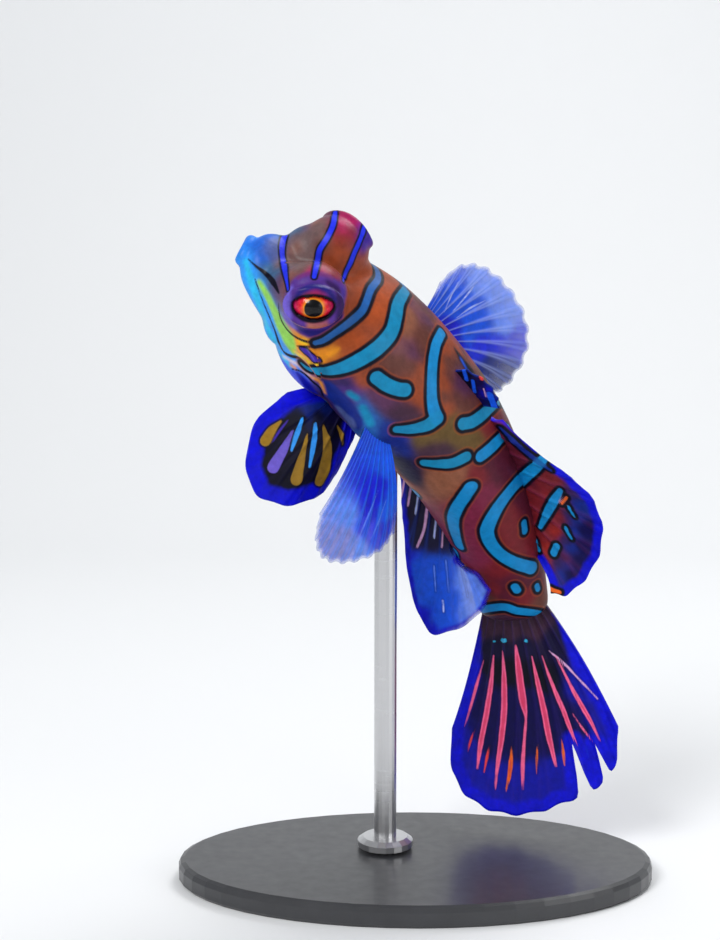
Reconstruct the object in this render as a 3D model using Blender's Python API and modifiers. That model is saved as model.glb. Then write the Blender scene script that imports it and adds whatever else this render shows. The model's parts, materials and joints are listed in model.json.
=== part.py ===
"""Mandarinfish: a still, life-size display model of a swimming fish on a plain stand.

The fish is drawn straight in millimetres: x runs back from the snout, y to the fish's left
and z towards its back. It is then bent along its spine into a swimming curve, head up to
the left and tail down, and set over the middle of the stand's oval plate. The body is one
closed form parted by two thin cuts into head, torso and tail; each fin is a ridged sheet
whose root is trimmed to the body's surface. The world is in metres, +Z up, with its origin
at the middle of the plate's underside.
"""
import math

import bmesh
import bpy
import numpy as np
from mathutils import Matrix, Vector

MM = 0.001
MERGE = 0.001

# Main lengths of the fish and its parting cuts
HEAD_CUT_X = 13.4
TAIL_CUT_X = 33.0
GAP = 0.3

# Body sections by distance from the snout: half width, height of the back, depth of the belly
SECTION_X = (0.0, 1.5, 3.0, 5.0, 8.0, 12.0, 16.0, 20.0, 25.0, 30.0, 35.0, 40.0, 46.6)
HALF_WIDTH = (1.5, 2.8, 3.7, 4.6, 5.6, 6.4, 6.6, 6.2, 5.7, 5.0, 4.1, 3.0, 1.7)
BACK = (0.0, 0.6, 1.4, 2.6, 4.1, 5.0, 5.2, 5.4, 5.6, 5.3, 4.8, 4.1, 3.5)
BELLY = (1.6, 2.1, 2.6, 3.2, 3.9, 4.8, 5.6, 5.7, 5.4, 4.9, 4.4, 3.8, 3.3)
SNOUT_ROUND = 1.5
TAIL_ROUND = 1.6
FULLNESS = 2.2
RING_PACKING = 0.11

# Pose of the spine by distance from the snout, in degrees: how steeply the head points up,
# how far it turns from the front and how far the back rolls towards the front
POSE_X = (0, 12, 18, 25, 32, 39, 46, 65)
STEEP = (40, 40, 48, 57, 64.5, 72.5, 80, 88)
TURN = (14, 14, 18, 22.5, 22, 16, 5, -8)
ROLL = (42, 42, 40, 36.5, 31.5, 27, 23, 19)
POSE_STEP = 0.25
POSE_BLUR = 25
SPINE_STATION = 25.0
SPINE_AT = (2.3, 1.0, 41.8)

# Eye turrets, eyeballs and lids
EYE_CENTRE = (6.2, 3.05, 3.25)
TURRET_RADIUS = 3.0
BROW = (7.0, 2.5, 1.7)
BROW_RADII = (4.6, 3.1, 3.0)
EYE_RAISE = 29.0
EYE_OUT = 1.2
EYE_TWIST = -40.0
EYEBALL = (1.95, 1.35, 1.9)
LID_RING = (2.2, 1.5)
LID_THICK = 0.4

# Mouth, nose, nostrils, cheek spines, gill pores, throat and the fleshy fin bases
MOUTH = (0.35, 0.0, -0.65)
LIP_RING = (1.15, 0.55)
LIP_THICK = 0.55
LIP_LEAN = -106.0
MOUTH_SLOT = (1.3, 1.4, 0.14)
NOSE = (2.9, 0.0, 0.35)
NOSE_RADII = (2.7, 3.0, 1.55)
NOSTRIL = (2.9, 1.9, 1.3)
NOSTRIL_RADIUS = 0.34
NOSTRIL_HEIGHT = 0.75
NOSTRIL_PIT = 0.16
NOSTRIL_LEAN = (-0.2, 0.6, 0.8)
SPINE_ROOT = (8.4, 4.9, 0.1)
SPINE_TIPS = ((11.2, 7.0, 0.0), (10.0, 7.1, 1.2))
SPINE_RADII = (0.75, 0.1)
GILL_PORE = (12.2, 3.4, 4.0)
GILL_PORE_RADIUS = 0.5
THROAT = (11.5, 0.0, -1.85)
THROAT_RADII = (6.0, 6.15, 4.2)
FIN_STALK = (18.2, 4.6, -0.9)
FIN_STALK_RADII = (3.9, 2.5, 2.6)

# Fin thickness: rays stand proud of the membrane on both faces
RAY_THICK = 1.0
RAY_TIP_SHARE = 0.78
MEMBRANE_SHARE = 0.5
ROOT_SHARE = 0.6
ROOT_SWELL = 1.6

# Stand: an oval plate and a round rod on a small foot
PLATE_WIDTH = 44.0
PLATE_DEPTH = 25.0
PLATE_THICK = 2.0
PLATE_EDGE = 0.6
PLATE_CHAMFER = 0.3
ROD_RADIUS = 1.05
ROD_FOOT_RADIUS = 2.6
ROD_FOOT_THICK = 0.9
ROD_STATION = (21.5, 0.0, -4.2)

COLOURS = {
    "head": (0.30, 0.20, 0.12),
    "torso": (0.35, 0.14, 0.05),
    "tail": (0.30, 0.08, 0.06),
    "eye": (0.55, 0.08, 0.02),
    "fin": (0.03, 0.16, 0.45),
    "stand_base": (0.03, 0.03, 0.035),
    "stand_rod": (0.6, 0.6, 0.6),
}


def clear_scene():
    for old in list(bpy.data.objects):
        bpy.data.objects.remove(old, do_unlink=True)


def make_collection(name):
    collection = bpy.data.collections.new(name)
    bpy.context.scene.collection.children.link(collection)
    return collection


def make_material(name, colour, roughness, metallic=0.0):
    material = bpy.data.materials.new(name)
    material.use_nodes = True
    shader = material.node_tree.nodes["Principled BSDF"]
    shader.inputs["Base Color"].default_value = (*colour, 1.0)
    shader.inputs["Roughness"].default_value = roughness
    shader.inputs["Metallic"].default_value = metallic
    material.diffuse_color = (*colour, 1.0)
    return material


def curve_value(x, xs, ys):
    """A smooth curve through the named points, by cubic pieces with shared slopes."""
    xs = np.asarray(xs, float)
    ys = np.asarray(ys, float)
    slopes = np.gradient(ys, xs, axis=0)
    x = np.clip(x, xs[0], xs[-1])
    i = np.clip(np.searchsorted(xs, x) - 1, 0, len(xs) - 2)
    span = xs[i + 1] - xs[i]
    t = (x - xs[i]) / span
    if ys.ndim > 1:
        t = t[..., None]
        span = span[..., None]
    start = (2 * t**3 - 3 * t**2 + 1) * ys[i] + (t**3 - 2 * t**2 + t) * span * slopes[i]
    end = (3 * t**2 - 2 * t**3) * ys[i + 1] + (t**3 - t**2) * span * slopes[i + 1]
    return start + end


def spine_table():
    """Points and directions of the bent spine at every POSE_STEP, from the pose's angles."""
    x = np.arange(-6.0, 80.0, POSE_STEP)
    edge = POSE_BLUR // 2
    blur = np.ones(POSE_BLUR) / POSE_BLUR
    angles = []
    for knots in (STEEP, TURN, ROLL):
        raw = np.interp(x, POSE_X, knots)
        angles.append(np.radians(np.convolve(np.pad(raw, edge, mode="edge"), blur, mode="valid")))
    steep, turn, roll = angles
    nothing = np.zeros_like(x)
    forward = np.stack([-np.cos(turn) * np.cos(steep), -np.sin(turn), np.cos(turn) * np.sin(steep)], 1)
    upright = np.stack([np.sin(steep), nothing, np.cos(steep)], 1)
    side = np.cross(upright, forward)
    back = np.cos(roll)[:, None] * upright + np.sin(roll)[:, None] * side
    left = np.cos(roll)[:, None] * side - np.sin(roll)[:, None] * upright
    points = np.zeros((len(x), 3))
    points[1:] = -np.cumsum((forward[1:] + forward[:-1]) / 2 * POSE_STEP, axis=0)
    points += np.array(SPINE_AT) - points[np.argmin(abs(x - SPINE_STATION))]
    return x, points, left, back


SPINE = spine_table()


def bend(points):
    """Straight drawing to the swimming pose, still in millimetres."""
    points = np.asarray(points, float)
    x, spine, left, back = SPINE
    station = points[:, 0]

    def along(values):
        return np.stack([np.interp(station, x, values[:, k]) for k in range(3)], 1)

    return along(spine) + points[:, 1:2] * along(left) + points[:, 2:3] * along(back)


def mesh_points(mesh):
    points = np.empty(len(mesh.vertices) * 3)
    mesh.vertices.foreach_get("co", points)
    return points.reshape(-1, 3)


def set_points(mesh, points):
    mesh.vertices.foreach_set("co", np.asarray(points, float).ravel())
    mesh.update()


def bend_mesh(mesh):
    """Bend a straight mesh; the straight drawing is left-handed, so its faces turn over."""
    set_points(mesh, bend(mesh_points(mesh)))
    mesh.flip_normals()


def object_from_bmesh(name, bm):
    mesh = bpy.data.meshes.new(name)
    bmesh.ops.recalc_face_normals(bm, faces=bm.faces)
    bm.to_mesh(mesh)
    bm.free()
    part = bpy.data.objects.new(name, mesh)
    work.objects.link(part)
    return part


def applied(part):
    """Replace the object's mesh by what its modifiers make of it."""
    graph = bpy.context.evaluated_depsgraph_get()
    mesh = bpy.data.meshes.new_from_object(part.evaluated_get(graph))
    part.modifiers.clear()
    part.data = mesh
    return part


def combine(part, others, operation):
    """Boolean with a collection of closed solids, which are then removed."""
    group = make_collection("cutters")
    for other in others:
        group.objects.link(other)
    step = part.modifiers.new(operation.lower(), "BOOLEAN")
    step.operand_type = "COLLECTION"
    step.collection = group
    step.operation = operation
    step.solver = "EXACT"
    step.use_self = True
    applied(part)
    for other in others:
        bpy.data.objects.remove(other, do_unlink=True)
    bpy.data.collections.remove(group)
    return part


def keep_largest(part):
    """Merge stray doubles, triangulate and keep only the largest closed surface."""
    bm = bmesh.new()
    bm.from_mesh(part.data)
    bmesh.ops.remove_doubles(bm, verts=bm.verts, dist=MERGE)
    bmesh.ops.triangulate(bm, faces=bm.faces)
    left_over = set(bm.faces)
    largest = set()
    while left_over:
        seed = left_over.pop()
        island = {seed}
        queue = [seed]
        while queue:
            face = queue.pop()
            for edge in face.edges:
                for other in edge.link_faces:
                    if other not in island:
                        island.add(other)
                        queue.append(other)
        left_over -= island
        if len(island) > len(largest):
            largest = island
    scraps = [face for face in bm.faces if face not in largest]
    bmesh.ops.delete(bm, geom=scraps, context="FACES")
    bm.to_mesh(part.data)
    bm.free()
    return part


def ball(name, centre, radii, turn=None, around=16, along=10):
    bm = bmesh.new()
    bmesh.ops.create_uvsphere(bm, u_segments=around, v_segments=along, radius=1.0)
    place = Matrix.Translation(centre) @ (turn or Matrix()) @ Matrix.Diagonal((*radii, 1.0))
    bmesh.ops.transform(bm, matrix=place, verts=bm.verts)
    return object_from_bmesh(name, bm)


def spike(name, start, end, start_radius, end_radius, sides=8):
    start = Vector(start)
    end = Vector(end)
    bm = bmesh.new()
    bmesh.ops.create_cone(bm, cap_ends=True, segments=sides, radius1=start_radius,
                          radius2=end_radius, depth=(end - start).length)
    turn = (end - start).to_track_quat("Z", "Y").to_matrix().to_4x4()
    place = Matrix.Translation((start + end) / 2) @ turn
    bmesh.ops.transform(bm, matrix=place, verts=bm.verts)
    return object_from_bmesh(name, bm)


def ring(name, centre, ring_radii, thick, turn, dome=None, around=20, sides=8):
    """An oval torus: a circle of the ring's thickness spun round, then stretched.

    With a dome radius the ring is also bent down to lie on a ball round the centre."""
    bm = bmesh.new()
    made = bmesh.ops.create_circle(bm, segments=sides, radius=thick)
    stand_up = Matrix.Translation((1.0, 0.0, 0.0)) @ Matrix.Rotation(math.pi / 2, 4, "X")
    bmesh.ops.transform(bm, matrix=stand_up, verts=made["verts"])
    bmesh.ops.spin(bm, geom=bm.edges[:], axis=(0, 0, 1), cent=(0, 0, 0), angle=2 * math.pi,
                   steps=around, use_merge=True)
    for vert in bm.verts:
        reach = math.hypot(vert.co.x, vert.co.y)
        way = Vector((vert.co.x, vert.co.y)) / reach
        vert.co.x = way.x * (ring_radii[0] + reach - 1.0)
        vert.co.y = way.y * (ring_radii[1] + reach - 1.0)
        if dome:
            oval = math.hypot(way.x * ring_radii[0], way.y * ring_radii[1])
            vert.co.z += math.sqrt(dome**2 - oval**2)
    bmesh.ops.transform(bm, matrix=Matrix.Translation(centre) @ turn, verts=bm.verts)
    return object_from_bmesh(name, bm)


def mirrored(point, side):
    return (point[0], point[1] * side, point[2])


def eye_turn(side):
    """Axes of an eye: Z out of the head and raised above level, X along the long lid axis."""
    raise_angle = math.radians(EYE_RAISE)
    out = Vector((0.0, side * math.cos(raise_angle), math.sin(raise_angle)))
    along = Vector((1.0, 0.0, 0.0))
    across = out.cross(along)
    twist = Matrix.Rotation(side * math.radians(EYE_TWIST), 4, "Z")
    return Matrix((along, across, out)).transposed().to_4x4() @ twist, out


def body_form(name, grow=0.0, around=32, rings=54):
    """The trunk from snout to tail root, a sphere drawn out along the section curves."""
    bm = bmesh.new()
    bmesh.ops.create_uvsphere(bm, u_segments=around, v_segments=rings, radius=1.0)
    points = np.array([vert.co for vert in bm.verts])
    share = np.arccos(np.clip(points[:, 2], -1, 1)) / math.pi
    angle = np.arctan2(points[:, 1], points[:, 0])
    # Rings close up towards both ends so that snout and tail root come out round
    length = SECTION_X[-1]
    x = length * (share - RING_PACKING * np.sin(2 * math.pi * share) * (1 - share))
    width = curve_value(x, SECTION_X, HALF_WIDTH)
    top = curve_value(x, SECTION_X, BACK)
    bottom = -curve_value(x, SECTION_X, BELLY)
    front = np.sqrt(1 - (1 - np.clip(x / SNOUT_ROUND, 0, 1)) ** 2)
    rear = np.sqrt(1 - (1 - np.clip((length - x) / TAIL_ROUND, 0, 1)) ** 2)
    close = np.where((share <= 0) | (share >= 1), 0.0, front * rear)
    side = np.sign(np.sin(angle)) * abs(np.sin(angle)) ** (2 / FULLNESS)
    rise = np.sign(np.cos(angle)) * abs(np.cos(angle)) ** (2 / FULLNESS)
    middle = (top + bottom) / 2
    half = (top - bottom) / 2
    placed = np.stack([x, (width + grow) * side * close, middle + (half + grow) * rise * close], 1)
    placed[:, 0] += grow * (2 * share - 1)
    for vert, point in zip(bm.verts, placed):
        vert.co = point
    return object_from_bmesh(name, bm)


def fleshy_lobes(grow=0.0):
    """The full throat and the two bases of the side fins."""
    lobes = [ball("throat", THROAT, tuple(radius + grow for radius in THROAT_RADII), None, 28, 18)]
    for side in (1, -1):
        stalk = tuple(radius + grow for radius in FIN_STALK_RADII)
        lobes.append(ball("stalk", mirrored(FIN_STALK, side), stalk, None, 20, 12))
    return lobes


def grown_body():
    """The trunk and fin bases made larger by the gap, the cutter of every root."""
    body = body_form("grown_body", grow=GAP)
    combine(body, fleshy_lobes(GAP), "UNION")
    return keep_largest(body)


def whole_body():
    """One closed body: trunk, fin bases, eye turrets, lids, lips, nostrils and spines."""
    body = body_form("body")
    added = fleshy_lobes()
    added.append(ball("nose", NOSE, NOSE_RADII, None, 20, 13))
    removed = []
    mouth_turn = Matrix.Rotation(math.radians(LIP_LEAN), 4, "Y")
    added.append(ring("lips", MOUTH, (LIP_RING[1], LIP_RING[0]), LIP_THICK, mouth_turn))
    removed.append(ball("mouth_slot", (MOUTH[0] - 0.4, 0.0, MOUTH[2]), MOUTH_SLOT))
    for side in (1, -1):
        turn, out = eye_turn(side)
        centre = Vector(mirrored(EYE_CENTRE, side))
        added.append(ball("brow", mirrored(BROW, side), BROW_RADII, None, 20, 13))
        added.append(ball("turret", centre, (TURRET_RADIUS,) * 3, turn, 20, 13))
        added.append(ring("lid", centre, LID_RING, LID_THICK, turn, dome=TURRET_RADIUS))
        socket = tuple(radius + GAP for radius in EYEBALL)
        removed.append(ball("socket", centre + out * EYE_OUT, socket, turn, 20, 12))
        nostril = Vector(mirrored(NOSTRIL, side))
        lean = Vector(mirrored(NOSTRIL_LEAN, side)).normalized()
        mound = nostril + lean * NOSTRIL_HEIGHT
        added.append(spike("nostril", nostril - lean, mound, NOSTRIL_RADIUS * 1.4, NOSTRIL_RADIUS))
        removed.append(spike("pit", nostril, nostril + lean * 1.2, NOSTRIL_PIT, NOSTRIL_PIT))
        for tip in SPINE_TIPS:
            added.append(spike("spine", mirrored(SPINE_ROOT, side), mirrored(tip, side), *SPINE_RADII))
        removed.append(ball("pore", mirrored(GILL_PORE, side), (GILL_PORE_RADIUS,) * 3, None, 10, 8))
    combine(body, added, "UNION")
    keep_largest(body)
    combine(body, removed, "DIFFERENCE")
    return keep_largest(body)


def slice_of(body, name, low, high):
    """The stretch of the body between two upright cuts, closed with flat ends."""
    bm = bmesh.new()
    bm.from_mesh(body.data)
    for where, way in ((low, -1), (high, 1)):
        if where is None:
            continue
        everything = bm.verts[:] + bm.edges[:] + bm.faces[:]
        bmesh.ops.bisect_plane(bm, geom=everything, plane_co=(where, 0, 0), plane_no=(way, 0, 0),
                               clear_outer=True)
        rim = [edge for edge in bm.edges if edge.is_boundary]
        bmesh.ops.edgeloop_fill(bm, edges=rim)
    bmesh.ops.remove_doubles(bm, verts=bm.verts, dist=MERGE)
    bmesh.ops.triangulate(bm, faces=bm.faces)
    return object_from_bmesh(name, bm)


def fin(name, roots, tips, rays, rows=8, bows=((0, 0, 0), (0, 0, 0)), scallop=0.35, splits=(),
        thick=RAY_THICK):
    """A sheet from its root line to its tips, with rays as ridges in its own two faces."""
    columns = 2 * rays - 1
    bm = bmesh.new()
    bmesh.ops.create_grid(bm, x_segments=columns - 1, y_segments=rows - 1, size=1.0)
    points = np.array([vert.co for vert in bm.verts])
    u = (points[:, 0] + 1) / 2
    v = (points[:, 1] + 1) / 2
    column = np.rint(u * (columns - 1)).astype(int)
    root = curve_value(u, np.linspace(0, 1, len(roots)), np.array(roots, float))
    tip = curve_value(u, np.linspace(0, 1, len(tips)), np.array(tips, float))
    reach = tip - root
    length = np.linalg.norm(reach, axis=1)
    between = column % 2 == 1
    short = np.where(between, scallop, 0.0)
    for split_column, depth in splits:
        short = np.where(column == split_column, depth, short)
    reach *= (1 - short / length)[:, None]
    bow = (1 - u)[:, None] * np.array(bows[0], float) + u[:, None] * np.array(bows[1], float)
    placed = root + reach * v[:, None] + (4 * v * (1 - v))[:, None] * bow
    for vert, point in zip(bm.verts, placed):
        vert.co = point
    bmesh.ops.triangulate(bm, faces=bm.faces, quad_method="FIXED")
    sheet = object_from_bmesh(name, bm)
    group = sheet.vertex_groups.new(name="thickness")
    share = np.where(between, MEMBRANE_SHARE, 1.0 + (RAY_TIP_SHARE - 1.0) * v)
    share = np.maximum(share * np.clip(ROOT_SHARE + ROOT_SWELL * v, 0, 1), MEMBRANE_SHARE)
    for index, weight in enumerate(share):
        group.add([index], float(weight), "REPLACE")
    wall = sheet.modifiers.new("wall", "SOLIDIFY")
    wall.thickness = thick
    wall.offset = 0.0
    wall.vertex_group = group.name
    wall.use_quality_normals = True
    return applied(sheet)


def trimmed(sheet, cutter):
    """Cut a fin's sunk root back to the body's surface, a gap away from it."""
    copy = bpy.data.objects.new("root_cutter", cutter.data.copy())
    work.objects.link(copy)
    combine(sheet, [copy], "DIFFERENCE")
    return keep_largest(sheet)


def pelvic_fin(side):
    name = "pelvic_fin_left" if side > 0 else "pelvic_fin_right"
    roots = [(13.9, 3.4, -3.7), (16.0, 3.6, -3.8), (18.2, 3.7, -4.1)]
    tips = [(10.9, 5.9, -5.1), (9.9, 9.2, -6.6), (10.9, 12.1, -7.9), (13.4, 13.9, -8.8), (16.7, 13.7, -8.7),
            (19.5, 12.2, -8.0), (20.9, 9.8, -6.9), (20.4, 7.3, -5.9), (19.9, 5.9, -5.4)]
    return fin(name, [mirrored(p, side) for p in roots], [mirrored(p, side) for p in tips], rays=8,
               bows=((0, 0, 0.5), (0, 0, 0.5)))


def pectoral_fin_left():
    roots = [(17.2, 6.0, -0.3), (19.6, 6.0, -0.3)]
    tips = [(19.9, 14.0, -4.9), (21.7, 15.8, -5.8), (24.1, 16.2, -6.0), (26.6, 14.8, -5.2),
            (28.2, 12.4, -3.9), (27.8, 10.4, -2.8)]
    return fin("pectoral_fin_left", roots, tips, rays=9, bows=((0, 0, 0.4), (0, 0, 0.4)))


def pectoral_fin_right():
    roots = [(17.8, -6.0, -0.8), (20.1, -6.0, -0.8)]
    tips = [(16.9, -10.6, 1.8), (17.3, -12.9, 3.1), (18.9, -14.4, 4.0), (21.7, -15.1, 4.4),
            (25.0, -14.9, 4.3), (27.5, -13.4, 3.5), (28.6, -10.6, 1.9), (28.4, -8.6, 0.4)]
    return fin("pectoral_fin_right", roots, tips, rays=10, bows=((0, 0, 0.4), (0, 0, 0.4)))


def first_dorsal_fin():
    """The front fin, folded back so that it nearly lies on the back."""
    roots = [(19.5, 0, 4.5), (23.2, 0, 4.6)]
    tips = [(19.9, 0.2, 6.6), (21.3, 0.3, 7.5), (22.8, 0.4, 7.6), (24.0, 0.4, 7.0)]
    return fin("first_dorsal_fin", roots, tips, rays=5, rows=7, scallop=0.3, thick=0.85)


def second_dorsal_fin():
    roots = [(24.5, 0, 5.0), (32.0, 0, 4.3), (39.2, 0, 3.5)]
    tips = [(25.2, 0.3, 6.5), (28.2, 0.8, 7.9), (30.9, 1.6, 10.3), (33.4, 2.0, 11.8), (36.4, 2.2, 11.8),
            (39.5, 2.1, 10.5), (42.0, 2.1, 8.5), (43.4, 2.3, 6.4), (43.0, 2.4, 5.0)]
    return fin("second_dorsal_fin", roots, tips, rays=9, bows=((0, 0.3, 0), (0, 0.3, 0.5)))


def anal_fin():
    """The rear belly fin, whose last rays fold up round the flank."""
    roots = [(26.0, 0, -4.3), (31.5, 0, -3.9), (37.2, 0, -3.6)]
    tips = [(28.0, 0.7, -6.0), (31.2, 1.6, -6.9), (35.3, 2.6, -7.8), (39.8, 3.2, -8.5), (43.6, 3.6, -8.3),
            (46.4, 3.9, -7.2), (46.2, 4.0, -5.0), (45.0, 4.2, -2.6), (43.0, 4.4, -0.7), (41.0, 4.5, 0.3)]
    return fin("anal_fin", roots, tips, rays=8, rows=7, bows=((0, 0.3, 0), (-2.2, 2.2, -1.6)), thick=0.9)


def caudal_fin():
    roots = [(44.9, 0, -2.8), (45.2, 0, 0.1), (44.9, 0, 3.2)]
    tips = [(57.4, 0, -7.7), (60.8, 0.2, -8.0), (63.5, 0.5, -7.0), (65.1, 0.6, -5.0), (65.8, 0.7, -2.6),
            (65.7, 0.7, 0.0), (64.9, 0.6, 2.6), (63.9, 0.5, 4.9), (62.7, 0.3, 7.0), (60.6, 0.1, 8.5),
            (57.2, 0, 8.9)]
    return fin("caudal_fin", roots, tips, rays=10, rows=10, bows=((0, -0.6, 0), (0, -0.6, 0)), scallop=0.35,
               splits=((13, 4.4), (15, 3.0)))


def eyeball(side):
    name = "eye_left" if side > 0 else "eye_right"
    turn, out = eye_turn(side)
    centre = Vector(mirrored(EYE_CENTRE, side)) + out * EYE_OUT
    return ball(name, centre, EYEBALL, turn, 20, 12)


def turned(name, profile, around=40):
    """A profile of (radius, height) points spun about the upright axis, closed at the axis."""
    bm = bmesh.new()
    verts = [bm.verts.new((radius, 0.0, height)) for radius, height in profile]
    for one, two in zip(verts, verts[1:]):
        bm.edges.new((one, two))
    bmesh.ops.spin(bm, geom=bm.verts[:] + bm.edges[:], axis=(0, 0, 1), cent=(0, 0, 0), angle=2 * math.pi,
                   steps=around, use_merge=True)
    bmesh.ops.remove_doubles(bm, verts=bm.verts, dist=0.001)
    return object_from_bmesh(name, bm)


def stand_base():
    """A flat oval plate with eased edges, turned round and then narrowed."""
    radius = PLATE_WIDTH / 2
    shoulder = PLATE_EDGE * 0.3
    profile = [(0, 0), (radius - PLATE_CHAMFER, 0), (radius, PLATE_CHAMFER),
               (radius, PLATE_THICK - PLATE_EDGE), (radius - shoulder, PLATE_THICK - shoulder),
               (radius - PLATE_EDGE, PLATE_THICK), (0, PLATE_THICK)]
    plate = turned("stand_base", profile, around=48)
    points = mesh_points(plate.data)
    set_points(plate.data, points * np.array([1.0, PLATE_DEPTH / PLATE_WIDTH, 1.0]))
    return plate


def stand_rod(cutter):
    """A round rod on a small foot, its top trimmed to the belly that it carries."""
    foot = PLATE_THICK + GAP
    belly = bend([ROD_STATION])[0]
    profile = [(0, foot), (ROD_FOOT_RADIUS, foot), (ROD_FOOT_RADIUS, foot + ROD_FOOT_THICK * 0.6),
               (ROD_FOOT_RADIUS * 0.8, foot + ROD_FOOT_THICK), (ROD_RADIUS, foot + ROD_FOOT_THICK),
               (ROD_RADIUS, belly[2]), (0, belly[2])]
    rod = turned("stand_rod", profile, around=20)
    points = mesh_points(rod.data)
    set_points(rod.data, points + np.array([belly[0], belly[1], 0.0]))
    bent = bpy.data.objects.new("belly_cutter", cutter.data.copy())
    work.objects.link(bent)
    bend_mesh(bent.data)
    combine(rod, [bent], "DIFFERENCE")
    return keep_largest(rod)


def finish(part, material, bent=True):
    """Bend a piece of the fish into the pose, turn it to metres and put it with the model."""
    if bent:
        bend_mesh(part.data)
    set_points(part.data, mesh_points(part.data) * MM)
    part.data.materials.clear()
    part.data.materials.append(material)
    part.data.shade_smooth()
    part.data.set_sharp_from_angle(angle=math.radians(50))
    work.objects.unlink(part)
    model.objects.link(part)


def build():
    cutter = grown_body()
    body = whole_body()
    head = slice_of(body, "head", None, HEAD_CUT_X - GAP / 2)
    finish(head, make_material("head_skin", COLOURS["head"], 0.35))
    torso = slice_of(body, "torso", HEAD_CUT_X + GAP / 2, TAIL_CUT_X - GAP / 2)
    finish(torso, make_material("torso_skin", COLOURS["torso"], 0.35))
    tail = slice_of(body, "tail", TAIL_CUT_X + GAP / 2, None)
    finish(tail, make_material("tail_skin", COLOURS["tail"], 0.35))
    bpy.data.objects.remove(body, do_unlink=True)
    for side in (1, -1):
        eye = eyeball(side)
        finish(eye, make_material(eye.name + "_cornea", COLOURS["eye"], 0.08))
    fins = [caudal_fin(), first_dorsal_fin(), second_dorsal_fin(), anal_fin(), pectoral_fin_left(),
            pectoral_fin_right(), pelvic_fin(1), pelvic_fin(-1)]
    for sheet in fins:
        trimmed(sheet, cutter)
        finish(sheet, make_material(sheet.name + "_membrane", COLOURS["fin"], 0.3))
    finish(stand_rod(cutter), make_material("rod_steel", COLOURS["stand_rod"], 0.3, 1.0), bent=False)
    finish(stand_base(), make_material("base_paint", COLOURS["stand_base"], 0.45), bent=False)
    bpy.data.objects.remove(cutter, do_unlink=True)


clear_scene()
model = make_collection("mandarinfish")
work = make_collection("workshop")
build()
bpy.data.collections.remove(work)
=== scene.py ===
# %% [markdown]
# # A mandarinfish on a display stand
# The fish is life size, 65 mm long, and swims in a bend with its head up to the left.
# Its hard parts were made before, as plain solids. Here every soft form gets a finer
# surface over them: one seamless skin, thin rayed fins and glossy eyes, painted by rules.

import json
import math

import bmesh
import bpy
import numpy as np
from mathutils import Matrix, Vector
from mathutils.bvhtree import BVHTree
from mathutils.geometry import barycentric_transform

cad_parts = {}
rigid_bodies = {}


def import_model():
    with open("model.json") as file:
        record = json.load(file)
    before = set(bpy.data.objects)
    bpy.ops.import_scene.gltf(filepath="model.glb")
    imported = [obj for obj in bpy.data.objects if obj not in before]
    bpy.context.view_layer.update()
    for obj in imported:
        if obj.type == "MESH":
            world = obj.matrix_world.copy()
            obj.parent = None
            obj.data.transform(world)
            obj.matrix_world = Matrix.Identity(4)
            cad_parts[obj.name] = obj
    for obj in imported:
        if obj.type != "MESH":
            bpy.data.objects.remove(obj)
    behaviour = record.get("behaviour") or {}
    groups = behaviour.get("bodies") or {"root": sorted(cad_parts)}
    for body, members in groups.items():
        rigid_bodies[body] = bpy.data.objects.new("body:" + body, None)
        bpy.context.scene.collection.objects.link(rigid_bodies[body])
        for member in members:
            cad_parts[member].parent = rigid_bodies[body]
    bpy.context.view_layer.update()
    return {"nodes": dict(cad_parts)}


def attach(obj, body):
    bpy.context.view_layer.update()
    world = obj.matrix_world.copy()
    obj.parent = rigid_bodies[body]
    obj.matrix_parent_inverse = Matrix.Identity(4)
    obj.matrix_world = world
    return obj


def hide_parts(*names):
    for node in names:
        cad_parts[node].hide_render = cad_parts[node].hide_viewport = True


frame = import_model()
print("solids:", ", ".join(sorted(frame["nodes"])))

# %% [markdown]
# ## A straight fish, bent afterwards
# A bent fish is hard to shape. It is easier to draw it straight, in millimetres, with x
# back from the snout, y to its left and z towards its back, and to bend the finished
# mesh along a curved spine. The same few angles as in the solids give that spine, so
# the fine surface lands exactly on them.

# %% Body sections
MM = 0.001
SECTION_X = (0.0, 1.5, 3.0, 5.0, 8.0, 12.0, 16.0, 20.0, 25.0, 30.0, 35.0, 40.0, 46.6)
HALF_WIDTH = (1.5, 2.8, 3.7, 4.6, 5.6, 6.4, 6.6, 6.2, 5.7, 5.0, 4.1, 3.0, 1.7)
BACK = (0.0, 0.6, 1.4, 2.6, 4.1, 5.0, 5.2, 5.4, 5.6, 5.3, 4.8, 4.1, 3.5)
BELLY = (1.6, 2.1, 2.6, 3.2, 3.9, 4.8, 5.6, 5.7, 5.4, 4.9, 4.4, 3.8, 3.3)
SNOUT_ROUND = 1.5
TAIL_ROUND = 1.6
FULLNESS = 2.2


def smooth_curve(x, xs, ys):
    """A smooth curve through the named points, by cubic pieces with shared slopes."""
    xs = np.asarray(xs, float)
    ys = np.asarray(ys, float)
    slopes = np.gradient(ys, xs, axis=0)
    x = np.clip(x, xs[0], xs[-1])
    i = np.clip(np.searchsorted(xs, x) - 1, 0, len(xs) - 2)
    span = xs[i + 1] - xs[i]
    t = (x - xs[i]) / span
    if ys.ndim > 1:
        t = t[..., None]
        span = span[..., None]
    start = (2 * t**3 - 3 * t**2 + 1) * ys[i] + (t**3 - 2 * t**2 + t) * span * slopes[i]
    end = (3 * t**2 - 2 * t**3) * ys[i + 1] + (t**3 - t**2) * span * slopes[i + 1]
    return start + end


print("the trunk is", 2 * max(HALF_WIDTH), "mm wide at most and", SECTION_X[-1], "mm long")

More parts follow.
